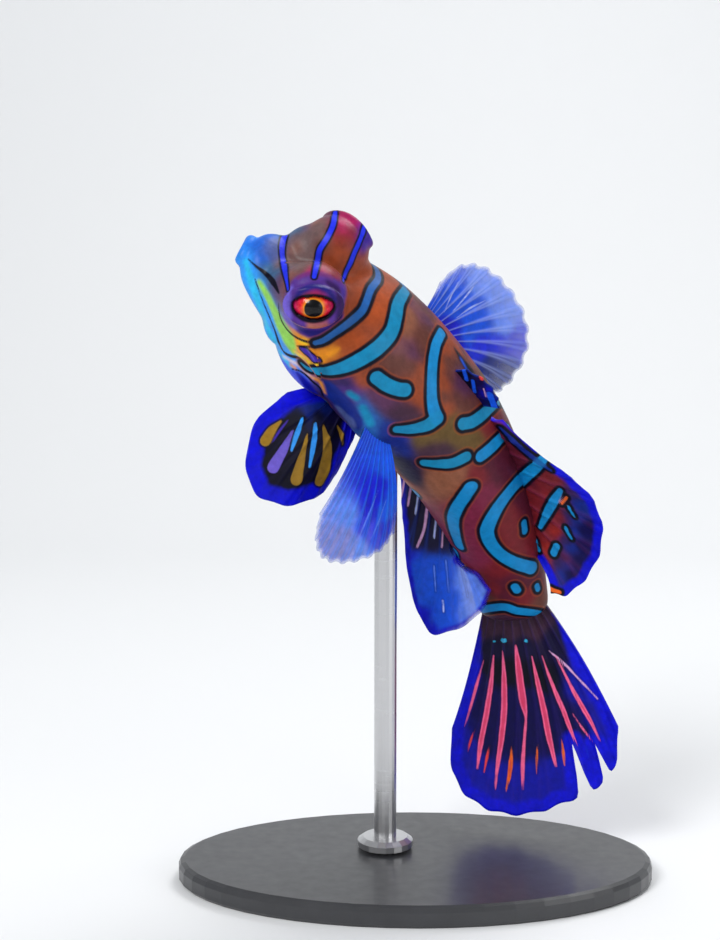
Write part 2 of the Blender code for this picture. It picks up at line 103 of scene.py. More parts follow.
# %% Pose of the spine
POSE_X = (0, 12, 18, 25, 32, 39, 46, 65)
STEEP = (40, 40, 48, 57, 64.5, 72.5, 80, 88)
TURN = (14, 14, 18, 22.5, 22, 16, 5, -8)
ROLL = (42, 42, 40, 36.5, 31.5, 27, 23, 19)
POSE_STEP = 0.25
POSE_BLUR = 25
SPINE_STATION = 25.0
SPINE_AT = np.array((2.3, 1.0, 41.8))


def spine_table():
    """Points and directions of the bent spine at every step, from the pose's angles."""
    x = np.arange(-6.0, 80.0, POSE_STEP)
    edge = POSE_BLUR // 2
    blur = np.ones(POSE_BLUR) / POSE_BLUR
    angles = []
    for knots in (STEEP, TURN, ROLL):
        raw = np.interp(x, POSE_X, knots)
        angles.append(np.radians(np.convolve(np.pad(raw, edge, mode="edge"), blur, mode="valid")))
    steep, turn, roll = angles
    level = np.zeros_like(x)
    forward = np.stack([-np.cos(turn) * np.cos(steep), -np.sin(turn), np.cos(turn) * np.sin(steep)], 1)
    upright = np.stack([np.sin(steep), level, np.cos(steep)], 1)
    side = np.cross(upright, forward)
    back = np.cos(roll)[:, None] * upright + np.sin(roll)[:, None] * side
    left = np.cos(roll)[:, None] * side - np.sin(roll)[:, None] * upright
    points = np.zeros((len(x), 3))
    points[1:] = -np.cumsum((forward[1:] + forward[:-1]) / 2 * POSE_STEP, axis=0)
    points += SPINE_AT - points[np.argmin(abs(x - SPINE_STATION))]
    return x, points, left, back


SPINE = spine_table()


def bent(points):
    """Straight drawing to the swimming pose, still in millimetres."""
    points = np.asarray(points, float)
    x, spine, left, back = SPINE

    def along(values):
        return np.stack([np.interp(points[:, 0], x, values[:, k]) for k in range(3)], 1)

    return along(spine) + points[:, 1:2] * along(left) + points[:, 2:3] * along(back)


nose, tail_root = bent([(0, 0, 0), (46, 0, 0)])
print("nose at", nose.round(1), "mm, tail root at", tail_root.round(1), "mm")

# %% [markdown]
# ## The camera comes early
# The camera stands where the photographer's stood: 160 mm from the fish and 8 degrees
# above it. It is needed early because the colour pattern is read off the photo as short
# strokes of picture points, and each point is thrown from the camera onto the finished
# surface. There it becomes a place on the fish, like chalk marks on a workpiece.

# %% Camera and sight lines
PICTURE = (720, 940)
DISTANCE = 160.0
CAMERA_RISE = math.radians(8)
LENS = 67.7
SENSOR = 36.0
AIM_PIXEL = (442, 429.5)
PIXELS_PER_SLOPE = LENS / SENSOR * PICTURE[1]

CAMERA_RIGHT = np.array((1.0, 0.0, 0.0))
CAMERA_UP = np.array((0.0, math.sin(CAMERA_RISE), math.cos(CAMERA_RISE)))
CAMERA_BACK = np.array((0.0, -math.cos(CAMERA_RISE), math.sin(CAMERA_RISE)))
SIDE_STEP = (AIM_PIXEL[0] - PICTURE[0] / 2) * DISTANCE / PIXELS_PER_SLOPE
RISE_STEP = (PICTURE[1] / 2 - AIM_PIXEL[1]) * DISTANCE / PIXELS_PER_SLOPE
CAMERA_AT = SPINE_AT + CAMERA_BACK * DISTANCE - CAMERA_RIGHT * SIDE_STEP - CAMERA_UP * RISE_STEP
PIXELS_PER_MM = PIXELS_PER_SLOPE / (DISTANCE - 5)


def sight_line(pixel):
    """Direction in which the camera sees one picture point."""
    across = (pixel[0] - PICTURE[0] / 2) / PIXELS_PER_SLOPE
    down = (pixel[1] - PICTURE[1] / 2) / PIXELS_PER_SLOPE
    way = CAMERA_RIGHT * across - CAMERA_UP * down - CAMERA_BACK
    return Vector(way).normalized()


def place_camera():
    lens = bpy.data.cameras.new("camera")
    lens.lens = LENS
    lens.sensor_width = SENSOR
    lens.clip_start = 0.01
    lens.clip_end = 10.0
    camera = bpy.data.objects.new("camera", lens)
    axes = Matrix((CAMERA_RIGHT, CAMERA_UP, CAMERA_BACK)).transposed()
    camera.matrix_world = Matrix.Translation(CAMERA_AT * MM) @ axes.to_4x4()
    bpy.context.scene.collection.objects.link(camera)
    bpy.context.scene.camera = camera


place_camera()
print("one millimetre is about", round(PIXELS_PER_MM, 1), "picture points")

# %% [markdown]
# ## The body form
# The trunk is a sphere whose rings are drawn out along the section curves. The eye
# turrets, the brows that carry them and the fleshy fin bases are plain balls pushed into
# it. A voxel remesh pours all of these into one skin, and smoothing melts the creases
# between them, which is how flesh runs from one form into the next.

# %% Mesh helpers
workshop = bpy.data.collections.new("workshop")
bpy.context.scene.collection.children.link(workshop)


def get_points(mesh):
    points = np.empty(len(mesh.vertices) * 3, np.float32)
    mesh.vertices.foreach_get("co", points)
    return points.reshape(-1, 3).astype(float)


def set_points(mesh, points):
    mesh.vertices.foreach_set("co", np.asarray(points, np.float32).ravel())
    mesh.update()


def mesh_of(bm, name):
    bmesh.ops.recalc_face_normals(bm, faces=bm.faces)
    mesh = bpy.data.meshes.new(name)
    bm.to_mesh(mesh)
    bm.free()
    return mesh


print("forms are worked on in the collection", workshop.name)


# %% Balls, and pouring forms together
def treated(mesh, *steps):
    """The mesh after a list of modifiers, each given as its kind and its settings."""
    carrier = bpy.data.objects.new("carrier", mesh)
    workshop.objects.link(carrier)
    for kind, settings in steps:
        step = carrier.modifiers.new(kind.lower(), kind)
        for key, value in settings.items():
            setattr(step, key, value)
    graph = bpy.context.evaluated_depsgraph_get()
    result = bpy.data.meshes.new_from_object(carrier.evaluated_get(graph))
    bpy.data.objects.remove(carrier, do_unlink=True)
    return result


def poured(meshes, voxel, melt, rounds):
    """Several closed forms as one skin of small, even faces."""
    bm = bmesh.new()
    for mesh in meshes:
        bm.from_mesh(mesh)
    heap = bpy.data.meshes.new("heap")
    bm.to_mesh(heap)
    bm.free()
    return treated(heap, ("REMESH", {"mode": "VOXEL", "voxel_size": voxel, "use_smooth_shade": True}),
                   ("SMOOTH", {"factor": melt, "iterations": rounds}))


def ball(centre, radii, turn=None, around=48, along=24):
    bm = bmesh.new()
    bmesh.ops.create_uvsphere(bm, u_segments=around, v_segments=along, radius=1.0)
    place = Matrix.Translation(centre) @ (turn or Matrix()) @ Matrix.Diagonal((*radii, 1.0))
    bmesh.ops.transform(bm, matrix=place, verts=bm.verts)
    return mesh_of(bm, "ball")


def flipped(point, side):
    return (point[0], point[1] * side, point[2])


test_ball = ball((0, 0, 0), (1.0, 1.0, 1.0))
print("a ball has", len(test_ball.polygons), "faces")
bpy.data.meshes.remove(test_ball)

# %% Trunk
RING_PACKING = 0.11


def trunk(around=96, rings=180):
    """A sphere drawn out along the section curves, closing round at snout and tail."""
    bm = bmesh.new()
    bmesh.ops.create_uvsphere(bm, u_segments=around, v_segments=rings, radius=1.0)
    points = np.array([vert.co for vert in bm.verts])
    share = np.arccos(np.clip(points[:, 2], -1, 1)) / math.pi
    angle = np.arctan2(points[:, 1], points[:, 0])
    length = SECTION_X[-1]
    x = length * (share - RING_PACKING * np.sin(2 * math.pi * share) * (1 - share))
    width = smooth_curve(x, SECTION_X, HALF_WIDTH)
    top = smooth_curve(x, SECTION_X, BACK)
    bottom = -smooth_curve(x, SECTION_X, BELLY)
    front = np.sqrt(1 - (1 - np.clip(x / SNOUT_ROUND, 0, 1)) ** 2)
    rear = np.sqrt(1 - (1 - np.clip((length - x) / TAIL_ROUND, 0, 1)) ** 2)
    close = np.where((share <= 0) | (share >= 1), 0.0, front * rear)
    side = np.sign(np.sin(angle)) * abs(np.sin(angle)) ** (2 / FULLNESS)
    rise = np.sign(np.cos(angle)) * abs(np.cos(angle)) ** (2 / FULLNESS)
    middle = (top + bottom) / 2
    placed = np.stack([x, width * side * close, middle + (top - bottom) / 2 * rise * close], 1)
    for vert, point in zip(bm.verts, placed):
        vert.co = point
    return mesh_of(bm, "trunk")


trunk_mesh = trunk()
print("trunk:", len(trunk_mesh.polygons), "faces")

# %% Brows, turrets and fin bases
EYE_CENTRE = (6.2, 3.05, 3.25)
TURRET_RADIUS = 3.0
BROW = (7.0, 2.5, 1.7)
BROW_RADII = (4.6, 3.1, 3.0)
EYE_RAISE = math.radians(29)
EYE_OUT = 1.2
LID_TWIST = math.radians(-40)
EYEBALL = (1.95, 1.35, 1.9)
NOSE = (2.9, 0.0, 0.35)
NOSE_RADII = (2.7, 3.0, 1.55)
THROAT = (11.5, 0.0, -1.85)
THROAT_RADII = (6.0, 6.15, 4.2)
JOWL = (6.8, 0.0, -1.9)
JOWL_RADII = (2.6, 5.0, 2.2)
FIN_STALK = (18.2, 4.6, -0.9)
FIN_STALK_RADII = (3.9, 2.5, 2.6)
BODY_VOXEL = 0.26
MELT = 0.5


def eye_axes(side):
    """Axes of an eye: X along the body, Z out of the head and raised above level."""
    out = Vector((0.0, side * math.cos(EYE_RAISE), math.sin(EYE_RAISE)))
    along = Vector((1.0, 0.0, 0.0))
    return Matrix((along, out.cross(along), out)).transposed().to_4x4(), out


def eye_place(side):
    """Where an eyeball sits: its centre, its direction and the slant of its lids."""
    turn, out = eye_axes(side)
    centre = Vector(flipped(EYE_CENTRE, side)) + out * EYE_OUT
    return Matrix.Translation(centre) @ turn @ Matrix.Rotation(side * LID_TWIST, 4, "Z")


flesh = [trunk_mesh, ball(NOSE, NOSE_RADII), ball(THROAT, THROAT_RADII), ball(JOWL, JOWL_RADII)]
for side in (1, -1):
    turn, out = eye_axes(side)
    flesh.append(ball(flipped(BROW, side), BROW_RADII))
    flesh.append(ball(flipped(EYE_CENTRE, side), (TURRET_RADIUS,) * 3, turn))
    flesh.append(ball(flipped(FIN_STALK, side), FIN_STALK_RADII))
body = poured(flesh, BODY_VOXEL, MELT, 18)
print("body form:", len(body.polygons), "faces")

# %% [markdown]
# ## Lids, lips, nostrils and cheek spines
# The sharper parts of the head come after the melting, or it would wash them out. The
# eye sockets are cut with a Boolean. Lids and lips are oval rings, the nostrils short
# tubes and the cheek spines slim cones. A second, finer pour joins them to the skin.

# %% Cones and rings
def thorn(start, end, start_radius, end_radius, sides=16):
    start = Vector(start)
    end = Vector(end)
    bm = bmesh.new()
    bmesh.ops.create_cone(bm, cap_ends=True, segments=sides, radius1=start_radius,
                          radius2=end_radius, depth=(end - start).length)
    turn = (end - start).to_track_quat("Z", "Y").to_matrix().to_4x4()
    bmesh.ops.transform(bm, matrix=Matrix.Translation((start + end) / 2) @ turn, verts=bm.verts)
    return mesh_of(bm, "thorn")


def rim(centre, oval, thick, turn, dome=None, around=64, sides=12):
    """An oval ring, bent down onto a dome's surface where one is given."""
    bm = bmesh.new()
    made = bmesh.ops.create_circle(bm, segments=sides, radius=thick)
    stand_up = Matrix.Translation((1.0, 0.0, 0.0)) @ Matrix.Rotation(math.pi / 2, 4, "X")
    bmesh.ops.transform(bm, matrix=stand_up, verts=made["verts"])
    bmesh.ops.spin(bm, geom=bm.edges[:], axis=(0, 0, 1), cent=(0, 0, 0), angle=2 * math.pi,
                   steps=around, use_merge=True)
    for vert in bm.verts:
        reach = math.hypot(vert.co.x, vert.co.y)
        way = Vector((vert.co.x, vert.co.y)) / reach
        vert.co.x = way.x * (oval[0] + reach - 1.0)
        vert.co.y = way.y * (oval[1] + reach - 1.0)
        if dome:
            vert.co.z += math.sqrt(dome**2 - (way.x * oval[0]) ** 2 - (way.y * oval[1]) ** 2)
    bmesh.ops.transform(bm, matrix=Matrix.Translation(centre) @ turn, verts=bm.verts)
    return mesh_of(bm, "rim")


test_rim = rim((0, 0, 0), (2.0, 1.0), 0.3, Matrix())
print("a rim has", len(test_rim.polygons), "faces")
bpy.data.meshes.remove(test_rim)

# %% Head details
SKIN_VOXEL = 0.165
LID_RING = (2.2, 1.5)
LID_THICK = 0.42
SOCKET_ROOM = 0.1
MOUTH = (0.35, 0.0, -0.65)
LIP_RING = (1.15, 0.55)
LIP_THICK = 0.55
LIP_LEAN = math.radians(-106)
NOSTRIL = (2.9, 1.9, 1.3)
NOSTRIL_LEAN = (-0.2, 0.6, 0.8)
SPINE_ROOT = (8.4, 4.9, 0.1)
SPINE_TIPS = ((11.2, 7.0, 0.0), (10.0, 7.1, 1.2))

sockets = bpy.data.collections.new("sockets")
bpy.context.scene.collection.children.link(sockets)
details = [rim(MOUTH, (LIP_RING[1], LIP_RING[0]), LIP_THICK, Matrix.Rotation(LIP_LEAN, 4, "Y"))]
for side in (1, -1):
    turn, out = eye_axes(side)
    centre = Vector(flipped(EYE_CENTRE, side))
    twist = turn @ Matrix.Rotation(side * LID_TWIST, 4, "Z")
    socket_radii = [radius + SOCKET_ROOM for radius in EYEBALL]
    hollow = bpy.data.objects.new("socket", ball(centre + out * EYE_OUT, socket_radii, twist))
    sockets.objects.link(hollow)
    details.append(rim(centre, LID_RING, LID_THICK, twist, dome=TURRET_RADIUS - 0.05))
    lean = Vector(flipped(NOSTRIL_LEAN, side)).normalized()
    base = Vector(flipped(NOSTRIL, side))
    details.append(thorn(base - lean, base + lean * 0.7, 0.5, 0.32))
    for tip in SPINE_TIPS:
        details.append(thorn(flipped(SPINE_ROOT, side), flipped(tip, side), 0.85, 0.14))

hollowed = treated(body, ("BOOLEAN", {"operand_type": "COLLECTION", "collection": sockets,
                                      "operation": "DIFFERENCE", "solver": "EXACT"}))
for hollow in list(sockets.objects):
    bpy.data.objects.remove(hollow, do_unlink=True)
bpy.data.collections.remove(sockets)
skin_mesh = poured([hollowed] + details, SKIN_VOXEL, MELT, 3)
print("skin:", len(skin_mesh.polygons), "faces")

# %% [markdown]
# ## From strokes to a pattern
# The real pattern is blue bands with dark edges on a warm ground. It isn't stored as a
# picture. Each band is a short stroke with a width and a named colour. For every point
# of the skin the shortest distance to the strokes is worked out and kept as a number on
# the mesh. The material turns that number into a crisp edge, whatever the mesh's size.
# Soft colours come from dabs, which fade into each other by distance.

# %% Paint box
def paint(red, green, blue):
    """A colour mixed on the screen, turned to the linear values that light uses."""
    screen = np.array((red, green, blue)) / 255.0
    return tuple(np.where(screen < 0.04045, screen / 12.92, ((screen + 0.055) / 1.055) ** 2.4))


PAINTS = {
    "rust": paint(142, 64, 34), "orange": paint(160, 70, 30), "tan": paint(134, 82, 60),
    "olive": paint(96, 74, 38), "umber": paint(92, 50, 42), "crimson": paint(112, 28, 36),
    "wine": paint(78, 22, 42), "rose": paint(114, 32, 60), "mauve": paint(84, 46, 78),
    "taupe": paint(104, 84, 84), "magenta": paint(160, 26, 84), "plum": paint(104, 36, 104),
    "violet": paint(58, 38, 150), "lilac": paint(104, 86, 190), "grape": paint(78, 44, 130),
    "snout blue": paint(24, 92, 200), "sky": paint(50, 150, 236), "cyan": paint(44, 176, 222),
    "teal grey": paint(46, 92, 128), "slate": paint(70, 84, 140), "lime": paint(140, 200, 86),
    "yellow": paint(226, 190, 40), "gold": paint(222, 140, 24), "cream": paint(236, 206, 190),
    "teal": paint(12, 124, 168), "lake": paint(14, 128, 190), "steel": paint(30, 90, 160),
    "royal": paint(28, 44, 216), "deep blue": paint(12, 18, 150), "ink": paint(4, 3, 22),
    "night": paint(16, 11, 50), "dusk": paint(40, 26, 78), "pink": paint(232, 96, 142),
    "coral": paint(214, 60, 60), "ember": paint(222, 96, 30), "blush": paint(210, 160, 206),
    "powder": paint(96, 136, 240), "mist": paint(176, 190, 244), "moss": paint(148, 112, 34),
    "azure": paint(16, 80, 216), "cobalt": paint(8, 12, 196), "ocean": paint(14, 36, 124),
    "brick": paint(140, 32, 26), "earth": paint(62, 36, 56), "cherry": paint(196, 36, 78),
    "flame": paint(214, 24, 40), "midnight": paint(8, 4, 66), "indigo": paint(30, 22, 108),
    "aubergine": paint(46, 18, 80), "haze": paint(120, 126, 206),
}
print("paint box:", len(PAINTS), "colours")


# %% Strokes from picture points
def soft_step(low, high, values):
    share = np.clip((values - low) / (high - low), 0, 1)
    return share * share * (3 - 2 * share)


def arc(centre, radius, start, end, count=9):
    """Picture points along a part of a circle, its angles in degrees from the right, clockwise."""
    angles = np.radians(np.linspace(start, end, count))
    return [(centre[0] + radius * math.cos(angle), centre[1] + radius * math.sin(angle)) for angle in angles]


print("a quarter circle:", [(round(x), round(y)) for x, y in arc((0, 0), 10, 0, 90, 3)])


# %% Throwing strokes onto a surface
def canvas_of(mesh):
    """What strokes are thrown onto: the bent surface, with its straight places kept."""
    straight = get_points(mesh)
    posed = bent(straight)
    faces = [tuple(face.vertices) for face in mesh.polygons]
    tree = BVHTree.FromPolygons([tuple(point) for point in posed], faces)
    return {"straight": straight, "posed": posed, "faces": faces, "tree": tree}


def thrown(canvas, pixels):
    """Straight places of the picture points that hit the canvas, and which ones hit."""
    places = []
    hits = []
    for pixel in pixels:
        spot, _, face, _ = canvas["tree"].ray_cast(Vector(CAMERA_AT), sight_line(pixel))
        hits.append(spot is not None)
        if spot is None:
            continue
        corners = canvas["faces"][face][:3]
        here = [Vector(canvas["posed"][corner]) for corner in corners]
        there = [Vector(canvas["straight"][corner]) for corner in corners]
        places.append(barycentric_transform(spot, *here, *there))
    return np.array(places).reshape(-1, 3), np.array(hits, bool)


def stroke(points, halves, steps=6):
    """A stroke's few points drawn through smoothly, with its half width all along."""
    points = np.array(points, float)
    halves = np.atleast_1d(np.array(halves, float))
    count = steps * (len(points) - 1) + 1
    if len(points) > 1:
        points = smooth_curve(np.linspace(0, len(points) - 1, count), np.arange(len(points)), points)
    return points, np.interp(np.linspace(0, 1, count), np.linspace(0, 1, len(halves)), halves)


test_path, test_halves = stroke([(0, 0), (4, 3)], (1.0, 2.0))
print("a stroke of two points gets", len(test_path), "points, half widths", test_halves.round(1))


# %% Distance to the marks
def gap_to(points, path, halves):
    """Distance from each point to the edge of a stroke, below zero inside it."""
    if len(path) == 1:
        return np.linalg.norm(points - path[0], axis=1) - halves[0]
    nearest = np.full(len(points), 1e3)
    for start, end, low, high in zip(path, path[1:], halves, halves[1:]):
        step = end - start
        share = np.clip((points - start) @ step / max(step @ step, 1e-9), 0, 1)
        gap = points - start - share[:, None] * step
        nearest = np.minimum(nearest, np.sqrt((gap * gap).sum(1)) - low - share * (high - low))
    return nearest


FAR_OFF = 9.0
LAYER_SOFT = 0.24


def edge_field(canvas, marks, far_side=False, layered=False):
    """Distance to the edges of the marks, and the marks' colours, blended or layered.

    Marks with two numbers to a point are thrown from the picture, widths and all. Marks
    with three numbers are places on the straight fish in millimetres."""
    count = len(canvas["posed"])
    field = np.full(count, FAR_OFF)
    total = np.zeros((count, 3))
    weights = np.full(count, 1e-9)
    layers = []
    for name, half, points in marks:
        path, halves = stroke(points, half)
        if path.shape[1] == 2:
            path, hits = thrown(canvas, path)
            halves = halves[hits] / PIXELS_PER_MM
        if len(path) == 0:
            continue
        if far_side:
            path = path * np.array((1.0, -1.0, 1.0))
        gap = gap_to(canvas["posed"], bent(path), halves)
        field = np.minimum(field, gap)
        weight = 1 / (np.maximum(gap, 0) + 0.05) ** 4
        total += weight[:, None] * np.array(PAINTS[name])
        weights += weight
        layers.append((soft_step(LAYER_SOFT, -LAYER_SOFT, gap)[:, None], np.array(PAINTS[name])))
    colour = total / weights[:, None]
    for cover, layer in (layers if layered else ()):
        colour = colour * (1 - cover) + layer * cover
    return field, colour


test_gap = gap_to(np.array([(0.0, 5.0, 0.0)]), np.array([(-3.0, 0.0, 0.0), (3.0, 0.0, 0.0)]), np.ones(2))
print("5 mm beside the middle of a stroke 2 mm wide, its edge is", test_gap[0].round(1), "mm away")


# %% Colour dabs, and what the mesh keeps
def dabbed(canvas, dabs, softness=0.9, mirrored=False):
    """A soft ground of colour dabs that fade into each other by distance."""
    count = len(canvas["posed"])
    total = np.zeros((count, 3))
    weights = np.zeros(count)
    for name, places in dabs:
        spots = np.array(places, float)
        if spots.shape[1] == 2:
            spots, _ = thrown(canvas, spots)
        if len(spots) == 0:
            continue
        for side in ((1, -1) if mirrored else (1,)):
            for spot in bent(spots * np.array((1.0, side, 1.0))):
                gap = ((canvas["posed"] - spot) ** 2).sum(1)
                weight = 1 / (gap + softness**2) ** 3
                total += weight[:, None] * np.array(PAINTS[name])
                weights += weight
    return total / weights[:, None]


def keep_number(mesh, name, values):
    layer = mesh.attributes.new(name, "FLOAT", "POINT")
    layer.data.foreach_set("value", np.asarray(values, np.float32))


def keep_colour(mesh, name, values):
    layer = mesh.attributes.new(name, "FLOAT_COLOR", "POINT")
    opaque = np.concatenate([values, np.ones((len(values), 1))], 1)
    layer.data.foreach_set("color", opaque.astype(np.float32).ravel())


print("numbers and colours are kept on the mesh's points")

# %% [markdown]
# ## The skin's pattern
# The marks fall in four sets, because their edges differ: wide blue bands with a broad
# dark edge on the body, narrower bright stripes over the eye turrets, plain dark lines,
# and soft patches laid one over another on cheek and eye turret. The photo shows the
# left side and the back. The hidden side repeats the left one, mirrored, and the two
# meet softly where the surface turns away from the camera.

# %% Bands and stripes
BANDS = [
    ("steel", (3.0, 3.6, 3.6, 2.4), [(372, 262), (377, 270), (378, 279), (371, 289), (367, 300),
        (362, 311), (350, 322), (336, 332), (324, 340), (315, 343)]),
    ("steel", 2.6, [(380, 262), (392, 271), (401, 281), (406, 289)]),
    ("teal", (5.0, 7.0, 7.0, 7.0, 6.6, 5.0, 2.6, 1.0), [(406, 290), (399, 302), (396, 316), (392, 331),
        (383, 343), (371, 353), (356, 362), (342, 368), (328, 371), (316, 371), (307, 368),
        (301, 363)]),
    ("teal", 6.8, [(377, 378), (387, 385), (397, 389), (405, 390)]),
    ("lake", (5.0, 5.8, 5.8, 5.6, 6.2, 6.8), [(442, 332), (436, 345), (433, 362), (432, 380),
        (432, 398), (434, 410), (437, 418)]),
    ("teal", (7.0, 6.4, 5.8, 5.4, 4.2), [(437, 418), (428, 425), (418, 428), (408, 429.5),
        (397, 429.5)]),
    ("teal", (6.0, 6.0, 4.5), [(463, 424), (472, 422), (481, 416), (490, 408), (499, 400)]),
    ("lake", (6.2, 6.2, 5.0), [(481, 456), (490, 449), (499, 440), (509, 429)]),
    ("teal", (4.5, 5.8, 5.8), [(424, 463), (438, 464), (453, 463), (466, 457)]),
    ("lake", (7.0, 6.6, 6.0), [(471, 487), (465, 496), (457, 508), (453, 520), (455, 534), (459, 546)]),
    ("lake", (6.4, 7.2, 7.2), [(541, 462), (531, 471), (518, 482), (507, 495), (497, 509), (489, 524),
        (487, 533), (491, 544), (501, 555), (515, 563), (532, 568)]),
    ("lake", 4.0, [(524, 523), (525, 531)]), ("lake", 4.6, [(515, 587), (517, 590)]),
    ("lake", 3.2, [(537, 586), (538, 589)]),
    ("lake", (4.0, 5.0, 5.0), [(470, 613), (486, 609), (504, 607), (517, 611), (532, 613), (549, 615)]),
]
STRIPES = [
    ("royal", (1.5, 2.6, 2.8, 2.6, 1.2), [(304, 222), (296, 226), (287, 233), (283, 241), (282, 252),
        (284, 265), (286, 277), (288, 290)]),
    ("royal", (2.4, 2.8, 2.8, 2.0), [(335, 212), (333, 225), (327, 238), (320, 249), (318, 258),
        (316, 268), (314, 277)]),
    ("royal", (2.0, 2.4, 2.4, 1.4), [(365, 220), (363, 232), (358, 245), (354, 254), (350, 264),
        (346, 272), (343, 281)]),
    ("violet", (0.8, 2.4, 2.0, 3.0, 1.4), [(300, 348), (305, 351), (310, 355), (315, 359), (320, 361)]),
]
print(len(BANDS), "bands and", len(STRIPES), "stripes")

# %% Lines, a painted shadow and patches
DOME = (315, 306)
LINES_AND_SHADOW = [
    # The first ink line, from the mouth back to below the eye, is painted shadow under the upper jaw, where
    # the snout meets the cheek.
    ("ink", (0.7, 1.3, 2.2, 3.2, 1.2), [(248, 259), (257, 267), (265, 273), (273, 282), (279, 293)]),
    ("ink", (0.6, 1.0, 1.2, 1.4, 2.0, 1.6), [(255, 279), (262, 299), (269, 316), (275, 331),
        (279, 343), (284, 352), (291, 356), (299, 358), (306, 364)]),
    ("ink", (1.0, 1.6, 1.2), [(292, 369), (300, 371), (307, 376), (313, 382), (320, 388), (323, 396)]),
    ("ink", (0.8, 1.5, 1.0), [(297, 346), (304, 347), (312, 347)]),
    ("ink", (0.5, 1.3, 1.6, 1.3, 0.6), arc(DOME, 36.5, 185, 40, 13)),
]
PATCHES = [
    ("ocean", 13.0, [(328, 390), (342, 404), (352, 420)]),
    ("cyan", (3.0, 4.6, 4.8, 4.2, 3.2, 2.0), [(246, 262), (252, 284), (259, 305), (268, 329),
        (276, 346), (283, 357), (290, 366)]),
    ("lime", (2.5, 6.0, 7.5, 9.0, 8.0, 3.5), [(259, 282), (266, 294), (272, 307), (278, 319),
        (285, 332), (290, 345), (293, 352)]),
    ("yellow", (2.0, 3.0, 2.0), [(300, 341), (306, 342), (312, 343)]),
    ("gold", (1.2, 2.4, 1.4), [(321, 359), (330, 354), (338, 349)]),
    ("ink", (2.0, 5.5, 7.0, 6.0), [(455, 349), (462, 360), (470, 371), (478, 384)]),
    ("azure", 1.4, [(461, 359), (466, 368)]),
    ("yellow", (1.5, 3.0, 3.2, 2.5), [(294, 351), (303, 358), (311, 363), (320, 364)]),
    ("azure", (2.5, 4.5, 4.0), [(283, 362), (294, 378), (307, 394)]),
    ("deep blue", (3.0, 6.0, 6.5, 5.0), [(298, 374), (306, 384), (314, 394), (321, 403)]),
    ("cream", (0.8, 1.7, 1.2), [(283, 356), (291, 361), (299, 365), (306, 372), (313, 378)]),
    ("gold", 2.0, [(291, 365), (295, 368)]),
    ("gold", (1.6, 2.6, 1.2), [(311, 377), (320, 382), (325, 393)]),
    ("slate", (5.0, 8.0), [(339, 409), (350, 422)]), ("teal", 4.0, [(350, 394), (356, 398)]),
    ("teal", 4.5, [(363, 408), (370, 423)]), ("grape", 10.0, arc(DOME, 26, 0, 360, 17)),
    ("aubergine", (3.0, 6.0, 5.0, 3.0), arc(DOME, 27, -60, 70)),
    ("indigo", (3.0, 6.0, 3.0), arc(DOME, 27, 60, 125)),
    ("lilac", (3.0, 5.5, 5.5, 3.0), arc(DOME, 30, 135, 215)),
    ("plum", (2.0, 3.0, 2.0), arc(DOME, 33, 240, 300)),
    ("indigo", (2.0, 4.5, 4.5, 2.0), arc(DOME, 20, 195, 345)),
]
print(len(LINES_AND_SHADOW), "lines and", len(PATCHES), "patches")
